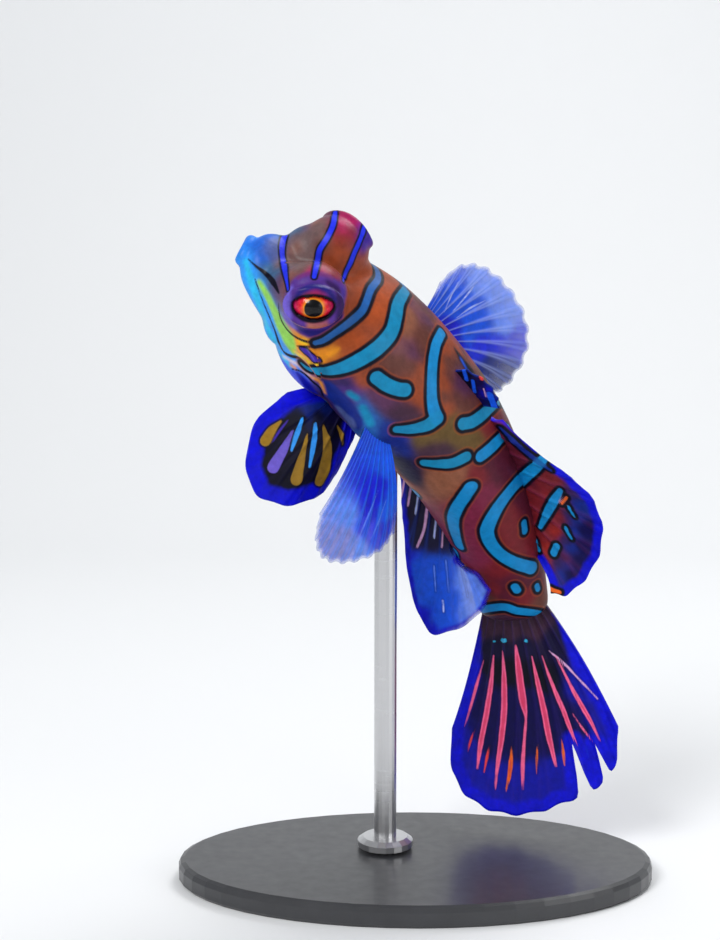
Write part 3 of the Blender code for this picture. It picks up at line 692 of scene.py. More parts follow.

# %% Ground colours, a painted shadow and underside
GROUND_AND_SHADOW = [
    ("sky", [(240, 240), (243, 252)]), ("snout blue", [(250, 236), (256, 246), (262, 258), (270, 232)]),
    ("slate", [(274, 243), (273, 254)]), ("teal grey", [(268, 268), (276, 274)]),
    ("sky", [(246, 262), (250, 276), (255, 290), (260, 305), (266, 322), (272, 337), (281, 352),
        (289, 362)]),
    ("gold", [(323, 358), (330, 352), (304, 346)]),
    ("royal", [(293, 374), (302, 388), (310, 397), (286, 366)]),
    ("taupe", [(292, 240), (296, 254), (298, 268), (306, 238), (308, 252), (305, 262)]),
    ("mauve", [(305, 226), (314, 220), (322, 218)]), ("tan", [(288, 262), (291, 276)]),
    ("rust", [(328, 258), (336, 262), (338, 250), (344, 256), (330, 268)]),
    ("umber", [(325, 250), (320, 240)]), ("magenta", [(341, 222), (344, 232), (350, 222)]),
    ("crimson", [(348, 240), (342, 240), (352, 230)]), ("violet", [(365, 222), (366, 232), (363, 240)]),
    ("rust", [(352, 278), (358, 270), (366, 262), (358, 294), (350, 308)]),
    ("orange", [(380, 290), (376, 305), (372, 320), (358, 334), (342, 343), (385, 300)]),
    ("rust", [(330, 356), (345, 352), (378, 328), (388, 280)]),
    ("tan", [(404, 318), (402, 330), (400, 345)]), ("mauve", [(418, 310), (428, 322), (412, 303)]),
    ("umber", [(424, 338), (420, 350)]), ("umber", [(388, 362), (400, 362), (412, 368), (372, 370)]),
    ("rust", [(416, 384), (420, 372), (364, 378), (420, 398)]), ("mauve", [(388, 404), (376, 396)]),
    ("earth", [(396, 412), (410, 412)]),
    ("umber", [(449, 362), (452, 376), (460, 396), (468, 406), (445, 398)]),
    ("mauve", [(458, 378), (462, 388)]), ("rust", [(446, 408), (444, 386), (446, 350), (451, 343)]),
    ("olive", [(452, 424), (440, 434), (455, 438), (470, 434), (425, 440), (478, 436)]),
    ("earth", [(445, 450), (430, 450)]), ("wine", [(500, 424)]),
    ("crimson", [(484, 428), (492, 422), (478, 474)]), ("tan", [(447, 476), (455, 474), (440, 482)]),
    ("wine", [(490, 462), (500, 470), (510, 455), (500, 452)]),
    ("rose", [(484, 496), (478, 508), (474, 520), (468, 535)]),
    ("wine", [(520, 500), (530, 492), (536, 480)]),
    ("crimson", [(512, 512), (505, 530), (515, 545), (526, 550), (500, 522)]),
    ("rose", [(478, 555), (470, 548)]), ("crimson", [(500, 572), (526, 596), (492, 590)]),
    ("wine", [(508, 582), (505, 598), (530, 580)]), ("umber", [(490, 600), (540, 604)]),
    ("earth", [(46.3, -1.5, 2.5), (46.3, 1.0, 2.0), (46.4, 1.2, 0.0), (46.3, 1.0, -2.0),
        (46.3, -1.0, 0.0)]),
    # The night dabs on the belly next to the near side fin's root are painted shadow, the shade under that
    # fin.
    ("ocean", [(395, 440), (398, 450), (384, 430)]), ("night", [(402, 462), (410, 474)]),
    ("grape", [(345, 392), (352, 400), (338, 402)]), ("steel", [(360, 404), (366, 416), (372, 428)]),
    ("dusk", [(332, 388), (345, 384), (326, 400)]), ("lime", [(5.0, 2.6, -2.4), (8.5, 3.0, -3.2)]),
    ("yellow", [(11.0, 2.4, -4.2), (12.5, 0.0, -4.8)]),
    ("powder", [(3.0, 0.0, -2.6), (6.0, 0.0, -3.4)]), ("gold", [(9.0, 0.0, -4.0), (15.5, 0.0, -5.5)]),
    ("tan", [(18.5, 3.0, -5.2), (22.0, 0.0, -5.6), (24.0, 4.2, -3.8)]),
    ("rust", [(27.0, 3.8, -3.8), (26.0, 0.0, -5.3)]), ("rose", [(31.0, 2.8, -3.9), (34.0, 0.0, -4.4)]),
    ("crimson", [(39.0, 1.6, -3.6), (43.0, 0.0, -3.5)]),
]
UNDERSIDE = [
    ("teal", 0.5, [(14.0, 5.0, -3.4), (15.5, 3.0, -5.0), (17.5, 1.6, -5.5), (18.0, 0.0, -5.6)]),
    ("teal", 0.5, [(21.0, 4.8, -3.6), (22.5, 2.8, -5.0), (24.5, 0.9, -5.5)]),
    ("lake", 0.5, [(28.5, 4.2, -3.2), (30.0, 2.2, -4.6), (32.0, 0.4, -4.8)]),
    ("lake", 0.45, [(37.5, 2.6, -3.3), (39.5, 0.9, -3.9)]),
]
print(len(GROUND_AND_SHADOW), "groups of dabs and", len(UNDERSIDE), "bands on the left of the underside")

# %% Skin that the camera sees
TURNED_AWAY = (-0.05, 0.25)


def vertex_normals(mesh):
    normals = np.empty(len(mesh.vertices) * 3, np.float32)
    mesh.vertex_normals.foreach_get("vector", normals)
    return normals.reshape(-1, 3).astype(float)


canvas = canvas_of(skin_mesh)
straight = canvas["straight"]
posed_mesh = skin_mesh.copy()
set_points(posed_mesh, canvas["posed"])
posed_mesh.flip_normals()
facing = vertex_normals(posed_mesh)
to_camera = CAMERA_AT - canvas["posed"]
to_camera /= np.linalg.norm(to_camera, axis=1)[:, None]
shown = soft_step(*TURNED_AWAY, (facing * to_camera).sum(1))
print("shown to the camera:", round(float(shown.mean()), 2), "of the skin")


# %% Paint the skin
def two_sided(canvas, marks, shown, layered):
    """The left side's marks, with their mirror image where the camera doesn't see."""
    near, near_colour = edge_field(canvas, marks, layered=layered)
    far, far_colour = edge_field(canvas, marks, far_side=True, layered=layered)
    return (near * shown + far * (1 - shown),
            near_colour * shown[:, None] + far_colour * (1 - shown)[:, None])


def both_sides(marks):
    turned = [(name, half, [flipped(point, -1) for point in path]) for name, half, path in marks]
    return marks + turned


for name, marks in (("band", BANDS), ("stripe", STRIPES), ("line", LINES_AND_SHADOW), ("patch", PATCHES)):
    field, colour = two_sided(canvas, marks, shown, name == "patch")
    if name == "band":
        under, under_colour = edge_field(canvas, both_sides(UNDERSIDE))
        nearer = under < field
        field = np.where(nearer, under, field)
        colour = np.where(nearer[:, None], under_colour, colour)
    keep_number(posed_mesh, name, field)
    keep_colour(posed_mesh, name + "_paint", colour)
# The kept ground holds the skin's colours and the painted shadow on the belly, mirrored to the far side.
keep_colour(posed_mesh, "ground", dabbed(canvas, GROUND_AND_SHADOW, mirrored=True))
print("marks and ground are kept on", len(posed_mesh.vertices), "points")

# %% Mouth and lids
SLIT_HALF = 1.15
SLIT_FRONT = 0.2
SLIT_SQUEEZE = 3.5
LID_DEPTH = 0.6

slit = np.hypot(straight[:, 0] + SLIT_FRONT, (straight[:, 2] - MOUTH[2]) * SLIT_SQUEEZE)
slit = np.where(abs(straight[:, 1]) < SLIT_HALF, slit, FAR_OFF)
keep_number(posed_mesh, "mouth", slit)
lid = np.full(len(straight), FAR_OFF)
for side in (1, -1):
    place = np.array(eye_place(side).inverted())
    local = straight @ place[:3, :3].T + place[:3, 3]
    across = (np.hypot(local[:, 0] / LID_RING[0], local[:, 1] / LID_RING[1]) - 1) * LID_RING[1]
    lid = np.minimum(lid, np.where(local[:, 2] > -LID_DEPTH, across, FAR_OFF))
keep_number(posed_mesh, "lid", lid)
print("inside the lids' rings:", int((lid < 0).sum()), "points of the skin")

# %% [markdown]
# ## Shared finishes
# Two effects are used by more than one material, so each is a node group: a mottle that
# breaks up flat colour as pigment cells do, and an edge that turns a distance into a
# mask, with a slight waver as from a living edge. Groups give out only values that
# change over the surface. The shaders stay in the materials.

# %% Node helpers
SOCKET_KINDS = {float: "NodeSocketFloat", tuple: "NodeSocketColor"}


def feed(tree, value, socket):
    """A socket is wired to another node's output, or gets a plain value."""
    if isinstance(value, bpy.types.NodeSocket):
        tree.links.new(value, socket)
    elif socket.type == "RGBA" and len(value) == 3:
        socket.default_value = (*value, 1.0)
    else:
        socket.default_value = value


def add_node(tree, kind, inputs=None, **settings):
    node = tree.nodes.new("ShaderNode" + kind)
    for key, value in settings.items():
        setattr(node, key, value)
    for key, value in (inputs or {}).items():
        feed(tree, value, node.inputs[key])
    return node


def worked_out(tree, operation, first, second):
    return add_node(tree, "Math", {0: first, 1: second}, operation=operation).outputs[0]


def rescaled(tree, value, limits, **settings):
    """A value moved from one range to another; limits left out are 0 and 1."""
    return add_node(tree, "MapRange", {"Value": value, **limits}, **settings).outputs["Result"]


def noise(tree, values, place=None):
    place = place or add_node(tree, "TexCoord").outputs["Object"]
    return add_node(tree, "TexNoise", {"Vector": place, **values}).outputs["Fac"]


def new_group(name, inputs, outputs):
    """An empty group, with the sockets that it is given and those that it gives out."""
    group = bpy.data.node_groups.new(name, "ShaderNodeTree")
    for label, value in inputs.items():
        kind = SOCKET_KINDS[type(value)]
        socket = group.interface.new_socket(name=label, in_out="INPUT", socket_type=kind)
        socket.default_value = value
    for label, kind in outputs.items():
        group.interface.new_socket(name=label, in_out="OUTPUT", socket_type=kind)
    return group, group.nodes.new("NodeGroupInput").outputs, group.nodes.new("NodeGroupOutput").inputs


print("sockets for", ", ".join(SOCKET_KINDS.values()))


# %% The mottle group
def build_mottle():
    group, given, out = new_group(
        "pigment_mottle", {"Colour": (1, 1, 1, 1), "Size": 900.0, "Strength": 0.25},
        {"Colour": "NodeSocketColor", "Cloud": "NodeSocketFloat"})
    cloud = noise(group, {"Scale": given["Size"], "Detail": 5.0, "Roughness": 0.6})
    swing = rescaled(group, cloud, {"From Min": 0.3, "From Max": 0.7, "To Min": -0.5, "To Max": 0.5})
    bright = worked_out(group, "ADD", worked_out(group, "MULTIPLY", swing, given["Strength"]), 1.0)
    shade = add_node(group, "HueSaturation", {"Color": given["Colour"], "Value": bright})
    feed(group, shade.outputs["Color"], out["Colour"])
    feed(group, cloud, out["Cloud"])
    return group


MOTTLE = build_mottle()
print(MOTTLE.name, "has", len(MOTTLE.nodes), "nodes")


# %% The edge group
def build_edge():
    group, given, out = new_group(
        "wavering_edge", {"Distance": 1.0, "Edge": 0.0, "Softness": 0.06, "Waver": 0.05},
        {"Mask": "NodeSocketFloat"})
    cloud = noise(group, {"Scale": 1100.0, "Detail": 3.0})
    sway = worked_out(group, "MULTIPLY", worked_out(group, "SUBTRACT", cloud, 0.5), given["Waver"])
    moved = worked_out(group, "ADD", given["Distance"], sway)
    low, high = [worked_out(group, way, given["Edge"], given["Softness"]) for way in ("SUBTRACT", "ADD")]
    mask = rescaled(group, moved, {"From Min": low, "From Max": high, "To Min": 1.0, "To Max": 0.0},
                    interpolation_type="SMOOTHSTEP")
    feed(group, mask, out["Mask"])
    return group


EDGE = build_edge()
print(EDGE.name, "has", len(EDGE.nodes), "nodes")


# %% Helpers that every material uses
def new_material(name, **sockets):
    """A material with its shader, whose plain values are set on the shader itself."""
    material = bpy.data.materials.new(name)
    material.use_nodes = True
    tree = material.node_tree
    shader = tree.nodes["Principled BSDF"]
    for key, value in sockets.items():
        feed(tree, value, shader.inputs[key.replace("_", " ")])
    return material, tree, shader


def kept(tree, name, kind="Fac"):
    """What the mesh keeps under a name: a number, or a colour with kind Color."""
    return add_node(tree, "Attribute", attribute_name=name).outputs[kind]


def masked(tree, name, edge, softness, waver, share=1.0):
    """Where the kept distance is inside an edge, at full strength or at a share of it."""
    node = add_node(tree, "Group", node_tree=EDGE)
    values = {"Distance": kept(tree, name), "Edge": edge, "Softness": softness, "Waver": waver}
    for key, value in values.items():
        feed(tree, value, node.inputs[key])
    mask = node.outputs["Mask"]
    return mask if share == 1.0 else worked_out(tree, "MULTIPLY", mask, share)


def mottled(tree, colour, size, strength):
    """A broken colour and its cloud; the colour is a paint or the name of a kept one."""
    node = add_node(tree, "Group", node_tree=MOTTLE)
    if isinstance(colour, str):
        colour = kept(tree, colour, "Color")
    for key, value in {"Colour": colour, "Size": size, "Strength": strength}.items():
        feed(tree, value, node.inputs[key])
    return node.outputs


def over(tree, mask, below, above):
    """One colour laid over another where the mask is on."""
    node = add_node(tree, "Mix", data_type="RGBA")
    for index, value in ((0, mask), (6, below), (7, above)):
        feed(tree, value, node.inputs[index])
    return node.outputs[2]


def relief(tree, shader, height, distance, strength):
    bump = add_node(tree, "Bump", {"Height": height, "Distance": distance, "Strength": strength})
    feed(tree, bump.outputs["Normal"], shader.inputs["Normal"])


print("shared groups:", [group.name for group in bpy.data.node_groups])

# %% [markdown]
# ## The skin's finish
# A mandarinfish has no scales. Its skin is smooth and a little slimy, so light sinks in
# slightly and leaves a soft gloss. The ground colour is mottled first. Patches, lines,
# stripes and bands are then laid over it by their distances, each dark edge under its
# own bright band, and last come the rims of the lids and the mouth slit.


# %% Skin material
def skin_material():
    material, tree, shader = new_material(
        "fish_skin", Roughness=0.42, Specular_IOR_Level=0.12, Coat_Weight=0.07, Coat_Roughness=0.25,
        Subsurface_Weight=0.08, Subsurface_Scale=0.0004)
    # The kept ground includes the painted shadow on the belly beside the near side fin.
    ground = mottled(tree, "ground", 1500.0, 0.35)
    patch = mottled(tree, "patch_paint", 1500.0, 0.3)["Colour"]
    stripe = mottled(tree, "stripe_paint", 1300.0, 0.3)["Colour"]
    band = mottled(tree, "band_paint", 1300.0, 0.3)["Colour"]
    # The kept lines include the painted shadow under the upper jaw.
    line = kept(tree, "line_paint", "Color")
    ink = PAINTS["ink"]
    colour = ground["Colour"]
    for name, edge, softness, waver, share, above in (
            ("patch", 0.0, 0.26, 0.1, 1.0, patch), ("line", 0.0, 0.07, 0.05, 1.0, line),
            ("stripe", 0.17, 0.09, 0.08, 1.0, ink), ("stripe", 0.0, 0.06, 0.05, 1.0, stripe),
            ("band", 0.5, 0.07, 0.1, 0.35, PAINTS["orange"]), ("band", 0.34, 0.11, 0.12, 1.0, ink),
            ("band", 0.0, 0.07, 0.08, 1.0, band), ("lid", -0.2, 0.1, 0.05, 1.0, ink),
            ("mouth", 0.42, 0.12, 0.0, 1.0, ink)):
        colour = over(tree, masked(tree, name, edge, softness, waver, share), colour, above)
    feed(tree, colour, shader.inputs["Base Color"])
    relief(tree, shader, ground["Cloud"], 0.00008, 0.5)
    return material


def finished_piece(name, mesh, material, slot, *replaced):
    """A mesh in millimetres becomes a piece of the model in metres."""
    set_points(mesh, get_points(mesh) * MM)
    mesh.name = name
    mesh.materials.clear()
    mesh.materials.append(material)
    mesh.shade_smooth()
    piece = bpy.data.objects.new(name, mesh)
    bpy.context.scene.collection.objects.link(piece)
    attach(piece, "root")
    if replaced:
        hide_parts(*replaced)
    return piece


skin = finished_piece("skin", posed_mesh, skin_material(), "skin", "head", "torso", "tail")
print("skin piece:", len(skin.data.vertices), "points")

# %% [markdown]
# ## Eyes
# Each eye is a separate glossy ball in its socket. The pupil and the fiery iris are
# painted by the distance from the eye's axis, so the black pupil stays round while the
# lids make the opening oval. A clear coat gives the wet shine of the cornea.


# %% Eye material and eyeballs
PUPIL = 0.78
CORNEA_RISE = 0.1
CORNEA_WIDTH = 0.8
IRIS_TURNS = (1.0, 1.75)


def eye_material():
    material, tree, shader = new_material("eye", Roughness=0.3, Specular_IOR_Level=0.1, Coat_Weight=0.35,
                                          Coat_Roughness=0.04)
    colour = mottled(tree, "iris", 2600.0, 0.9)["Colour"]
    for edge, softness, waver, above in (
            (PUPIL + 0.24, 0.16, 0.5, PAINTS["ember"]), (PUPIL + 0.08, 0.08, 0.35, PAINTS["gold"]),
            (PUPIL, 0.05, 0.1, (0.001, 0.001, 0.002))):
        colour = over(tree, masked(tree, "from_pupil", edge, softness, waver), colour, above)
    feed(tree, colour, shader.inputs["Base Color"])
    return material


EYE_FINISH = eye_material()


def eyeball(side):
    """A fine ball with a slight bulge over the pupil."""
    bm = bmesh.new()
    bmesh.ops.create_uvsphere(bm, u_segments=96, v_segments=64, radius=1.0)
    bmesh.ops.transform(bm, matrix=Matrix.Diagonal((*EYEBALL, 1.0)), verts=bm.verts)
    mesh = mesh_of(bm, "eyeball")
    local = get_points(mesh)
    radial = np.hypot(local[:, 0], local[:, 1])
    bulge = CORNEA_RISE * np.exp(-((radial / CORNEA_WIDTH) ** 2))
    local[:, 2] += np.where(local[:, 2] > 0, bulge, 0.0)
    from_pupil = np.where(local[:, 2] > 0, radial, 3.0)
    outer = soft_step(*IRIS_TURNS, radial)[:, None]
    iris = np.array(PAINTS["flame"]) * (1 - outer) + np.array(PAINTS["magenta"]) * outer
    place = np.array(eye_place(side))
    set_points(mesh, bent(local @ place[:3, :3].T + place[:3, 3]))
    mesh.flip_normals()
    keep_number(mesh, "from_pupil", from_pupil)
    keep_colour(mesh, "iris", iris)
    name = "left" if side > 0 else "right"
    return finished_piece("eyeball_" + name, mesh, EYE_FINISH, "eye", "eye_" + name)


for side in (1, -1):
    eye = eyeball(side)
    print(eye.name, "with", len(eye.data.polygons), "faces")

# %% [markdown]
# ## Fins as fine sheets
# A fin is a thin membrane stretched over soft rays that fork towards their tips. Each
# one starts as a flat grid. Its rows run from the root line to the tips, its edge is
# scalloped between the rays, and a Solidify modifier gives it a wall that is thicker
# along the rays. The same root and tip points as in the solids place it, and its root
# sinks into the skin. Strokes and dabs are thrown onto it as on the body. A fin that
# laps over the flank is pushed out of the body until it rests on it, like wet cloth.


# %% A sheet laid on the flank
def draped(points, share, lift=0.2):
    """Points that would lie inside the body, pushed out until they rest on its side."""
    x = points[:, 0]
    width = smooth_curve(x, SECTION_X, HALF_WIDTH) + lift
    top = smooth_curve(x, SECTION_X, BACK)
    bottom = -smooth_curve(x, SECTION_X, BELLY)
    middle = (top + bottom) / 2
    height = (top - bottom) / 2 + lift
    full = (abs(points[:, 1]) / width) ** FULLNESS + (abs(points[:, 2] - middle) / height) ** FULLNESS
    push = np.maximum(1 / np.maximum(full, 0.05) ** (1 / FULLNESS), 1) - 1
    grow = push * soft_step(0.06, 0.25, share) + 1
    return np.stack([x, points[:, 1] * grow, middle + (points[:, 2] - middle) * grow], 1)


inner, = draped(np.array([(30.0, 2.0, 0.0)]), np.ones(1))
print("a point 2 mm from the middle is laid", round(float(inner[1]), 1), "mm from it")


# %% Fin sheet
FORK_SPREAD = 0.17
RAY_WIDTH = 0.09


def fin_sheet(roots, tips, rays, rows=44, between=12, bow=(0, 0, 0), scallop=0.5, notches=(), drape=False):
    """A grid from root line to tips; returns its mesh and what each point knows of itself."""
    columns = (rays - 1) * between + 1
    bm = bmesh.new()
    bmesh.ops.create_grid(bm, x_segments=columns - 1, y_segments=rows - 1, size=1.0)
    places = np.array([vert.co for vert in bm.verts])
    u = (places[:, 0] + 1) / 2
    v = (places[:, 1] + 1) / 2
    root = smooth_curve(u, np.linspace(0, 1, len(roots)), np.array(roots, float))
    tip = smooth_curve(u, np.linspace(0, 1, len(tips)), np.array(tips, float))
    reach = tip - root
    length = np.linalg.norm(reach, axis=1)
    phase = u * (rays - 1)
    off_ray = abs(phase - np.rint(phase))
    short = scallop * np.sin(math.pi * off_ray) ** 1.5
    for at, deep, wide in notches:
        short = np.maximum(short, deep * np.exp(-(((phase - at) / wide) ** 2)))
    reach = reach * (1 - short / length)[:, None]
    bows = np.asarray(bow, float).reshape(-1, 3)
    sag = bows[0] * (1 - u)[:, None] + bows[-1] * u[:, None]
    straight = root + reach * v[:, None] + (4 * v * (1 - v))[:, None] * sag
    if drape:
        straight = draped(straight, v)
    for vert, point in zip(bm.verts, straight):
        vert.co = point
    mesh = mesh_of(bm, "sheet")
    if drape:
        mesh = treated(mesh, ("SMOOTH", {"factor": 0.5, "iterations": 10}))
    fork = FORK_SPREAD * soft_step(0.35, 1.0, v)
    ridge = np.maximum(*(np.exp(-(((off_ray + way * fork) / RAY_WIDTH) ** 2)) for way in (-1, 1)))
    return mesh, {"u": u, "v": v, "ridge": ridge, "length": length, "grid": (columns, rows)}


def outline_distance(posed, facts, from_root=0.25):
    """Distance to the fin's free edge, past the part of its sides next to the root."""
    u, v = facts["u"], facts["v"]
    line = []
    for picked, key in ((u < 1e-4, v), (v > 1 - 1e-4, u), (u > 1 - 1e-4, -v)):
        index = np.nonzero(picked & ((v > from_root) | (v > 1 - 1e-4)))[0]
        line.append(posed[index[np.argsort(key[index])]])
    line = np.concatenate(line)
    return gap_to(posed, line, np.zeros(len(line)))


test_sheet, test_facts = fin_sheet([(0, 0, 0), (2, 0, 0)], [(0, 0, 5), (2, 0, 5)], rays=3)
print("a sheet with three rays has", len(test_sheet.vertices), "points")
bpy.data.meshes.remove(test_sheet)


# %% Fin piece
RAY_THICK = 0.5
WEB_THICK = 0.16
WALL_TAPER = 0.55


def fin_piece(name, mesh, facts, marks, dabs, material, slot, ray_thick=RAY_THICK, web_thick=WEB_THICK,
              softness=0.7, from_root=0.25, sheer=0.0):
    """A painted sheet made a walled piece of the model; numbers are in millimetres."""
    canvas = canvas_of(mesh)
    field, colour = edge_field(canvas, marks)
    keep_number(mesh, "streak", field)
    keep_colour(mesh, "streak_paint", colour)
    keep_colour(mesh, "ground", dabbed(canvas, dabs, softness))
    keep_number(mesh, "ray", facts["ridge"])
    keep_number(mesh, "sheer", np.ones(len(facts["v"])) * sheer)
    keep_number(mesh, "margin", outline_distance(canvas["posed"], facts, from_root) + facts.get("thin", 0.0))
    set_points(mesh, canvas["posed"])
    mesh.flip_normals()
    return walled_fin(name, mesh, facts, material, slot, ray_thick, web_thick)


def walled_fin(name, mesh, facts, material, slot, ray_thick=RAY_THICK, web_thick=WEB_THICK):
    """The sheet with its wall: thick rays, a thin web and a fine edge."""
    wall = web_thick + (ray_thick - web_thick) * facts["ridge"]
    wall = wall * (1 - WALL_TAPER * facts["v"])
    share = wall / wall.max()
    carrier = bpy.data.objects.new("carrier", mesh)
    workshop.objects.link(carrier)
    group = carrier.vertex_groups.new(name="wall")
    for index, weight in enumerate(share):
        group.add([index], float(weight), "REPLACE")
    step = carrier.modifiers.new("wall", "SOLIDIFY")
    step.thickness = float(wall.max())
    step.offset = 0.0
    step.vertex_group = group.name
    graph = bpy.context.evaluated_depsgraph_get()
    solid = bpy.data.meshes.new_from_object(carrier.evaluated_get(graph))
    bpy.data.objects.remove(carrier, do_unlink=True)
    return finished_piece(name, solid, material, slot, name)


print("each fin's wall ends at", round(1 - WALL_TAPER, 2), "of its root's thickness")

# %% [markdown]
# ## Fin finish
# All the fins share one way of being painted: a soft ground, streaks laid over it, a
# bright blue margin measured from the free edge, and rays that show a little lighter.
# Only the margin's width and how much light comes through differ from fin to fin.


# %% Fin material
def see_through(tree, least):
    """Alpha: rays stay solid, the web clears up to the least value where the fin is sheer."""
    sheer = kept(tree, "sheer")
    web = rescaled(tree, sheer, {"To Min": 1.0, "To Max": least})
    solid = rescaled(tree, kept(tree, "ray"), {"To Min": web, "To Max": 0.95})
    thinnest = rescaled(tree, sheer, {"To Min": 1.0, "To Max": 0.3})
    fade = rescaled(tree, kept(tree, "margin"), {"From Max": 0.5, "To Min": thinnest},
                    interpolation_type="SMOOTHSTEP")
    return worked_out(tree, "MULTIPLY", solid, fade)


def fin_material(name, margin, ray_tint, clearest=1.0, core=None, outline=(0.6, 0.12)):
    """A fin's finish: its margin is (paint, width, softness), its ray tint (paint, share)."""
    material, tree, shader = new_material(
        name, Roughness=0.42, Specular_IOR_Level=0.12, Coat_Weight=0.05, Coat_Roughness=0.25,
        Subsurface_Weight=0.08, Subsurface_Scale=0.0003)
    margin_paint, margin_width, margin_soft = margin
    ground = mottled(tree, "ground", 1400.0, 0.4)
    faint = worked_out(tree, "MULTIPLY", kept(tree, "ray"), ray_tint[1])
    colour = over(tree, faint, ground["Colour"], PAINTS[ray_tint[0]])
    edging = mottled(tree, PAINTS[margin_paint], 1200.0, 0.5)["Colour"]
    streak = mottled(tree, "streak_paint", 1500.0, 0.35)["Colour"]
    layers = [("margin", margin_width, margin_soft, 0.35, 1.0, edging),
              ("streak", outline[1], 0.11, 0.1, outline[0], PAINTS["ink"]),
              ("streak", -0.02, 0.06, 0.1, 1.0, streak)]
    if core:
        layers.append(("streak", -0.15, 0.07, 0.06, 0.7, PAINTS[core]))
    for kept_name, edge, softness, waver, share, above in layers:
        colour = over(tree, masked(tree, kept_name, edge, softness, waver, share), colour, above)
    feed(tree, colour, shader.inputs["Base Color"])
    if clearest < 1.0:
        feed(tree, see_through(tree, clearest), shader.inputs["Alpha"])
    relief(tree, shader, ground["Cloud"], 0.00006, 0.5)
    return material


print("groups for the fins' finish:", [group.name for group in bpy.data.node_groups])

# %% [markdown]
# ## Tail fin
# The tail fin is a broad fan of ten rays, slit between two of them near its upper edge.
# Pink and coral streaks run along the rays on dark blue, inside a bright blue margin.

# %% Tail fin
TAIL_STREAKS = [
    ("pink", (0.6, 1.8, 1.6, 0.6), [(484, 660), (477, 685), (471.5, 705), (465, 727)]),
    ("pink", (0.8, 2.6, 3.2, 3.0, 1.2), [(494, 655), (491.5, 682), (487, 712), (481, 743),
        (477.5, 769)]),
    ("pink", (0.8, 3.0, 3.6, 3.4, 2.4, 1.0), [(503, 650), (504.5, 680), (504.5, 708), (502, 736),
        (498, 764), (495.5, 789)]),
    ("pink", (1.0, 3.8, 4.4, 1.4, 1.8, 2.4, 1.0), [(516, 645), (519, 668), (523, 700), (526, 718),
        (524.5, 740), (523, 766), (523, 790)]),
    ("pink", (0.8, 2.8, 3.6, 3.6, 1.6), [(532, 656), (538, 683), (544, 710), (549, 736), (556, 766)]),
    ("pink", (0.6, 1.8, 2.8, 2.8, 1.2), [(542, 655), (550, 678), (559, 700), (567, 720), (577, 747)]),
    ("pink", (0.6, 1.6, 2.6, 2.4, 1.0), [(556, 656), (567, 678), (579, 701), (590, 720), (600, 741)]),
    ("blush", (0.8, 1.5, 1.0), [(549, 650), (567, 666), (598, 699)]),
    ("pink", (0.5, 1.3, 1.2, 0.5), [(572, 712), (582, 727), (591, 739), (598, 748)]),
    ("coral", (0.6, 2.0, 0.6), [(490, 744), (487, 758), (484, 773)]),
    ("ember", (0.7, 2.8, 2.2, 0.6), [(512, 746), (511, 762), (509, 778), (505, 794)]),
    ("ember", (0.6, 1.8, 0.6), [(538, 744), (537, 758), (537, 774)]),
    ("ember", (0.6, 2.0, 0.8), [(562, 738), (563.5, 752), (565, 766)]),
    ("coral", (0.5, 1.6, 0.5), [(475, 729), (471, 740), (467.5, 752)]),
    ("cyan", 2.6, [(503, 640), (505, 640)]), ("cyan", 1.5, [(494, 641), (495, 641)]),
    ("cyan", 1.8, [(526, 640), (527, 641)]),
]
TAIL_GROUND = [
    ("earth", [(490, 628), (512, 630), (535, 630), (480, 634)]),
    ("night", [(500, 646), (525, 645), (488, 645), (550, 640)]),
    ("midnight", [(482, 690), (498, 710), (512, 700), (533, 700), (545, 735), (562, 715), (515, 740),
        (580, 740), (490, 740)]),
    ("ink", [(512, 672), (528, 676), (500, 672), (545, 680)]),
    ("deep blue", [(468, 752), (480, 780), (505, 785), (530, 785), (560, 780), (604, 722), (585, 686)]),
    ("azure", [(592, 758), (600, 772)]),
]
tail_sheet, tail_facts = fin_sheet(
    [(44.9, 0, -2.8), (45.2, 0, 0.1), (44.9, 0, 3.2)],
    [(57.4, 0, -7.7), (60.8, 0.2, -8.0), (63.5, 0.5, -7.0), (65.1, 0.6, -5.0), (65.8, 0.7, -2.6),
     (65.7, 0.7, 0.0), (64.9, 0.6, 2.6), (63.9, 0.5, 4.9), (62.7, 0.3, 7.0), (60.6, 0.1, 8.5),
     (57.2, 0, 8.9)],
    rays=10, rows=80, bow=(0, -0.6, 0), scallop=0.25, notches=((6.5, 5.0, 0.17), (7.5, 3.4, 0.12)))
tail_facts["thin"] = 1.3 * (1 - soft_step(0.1, 0.45, tail_facts["v"]))
tail_finish = fin_material("tail_fin", ("cobalt", 1.2, 0.35), ("violet", 0.12), core="cherry",
                           outline=(0.3, 0.1))
tail_fin = fin_piece("caudal_fin", tail_sheet, tail_facts, TAIL_STREAKS, TAIL_GROUND, tail_finish, "fin",
                     from_root=0.1)
print("tail fin:", len(tail_fin.data.polygons), "faces")

# %% [markdown]
# ## Back fins
# The first back fin is folded down on the back, dark with blue patches. The second one
# stands up and leans towards the camera: red with blue spots at its base, then night
# blue, then a bright margin.

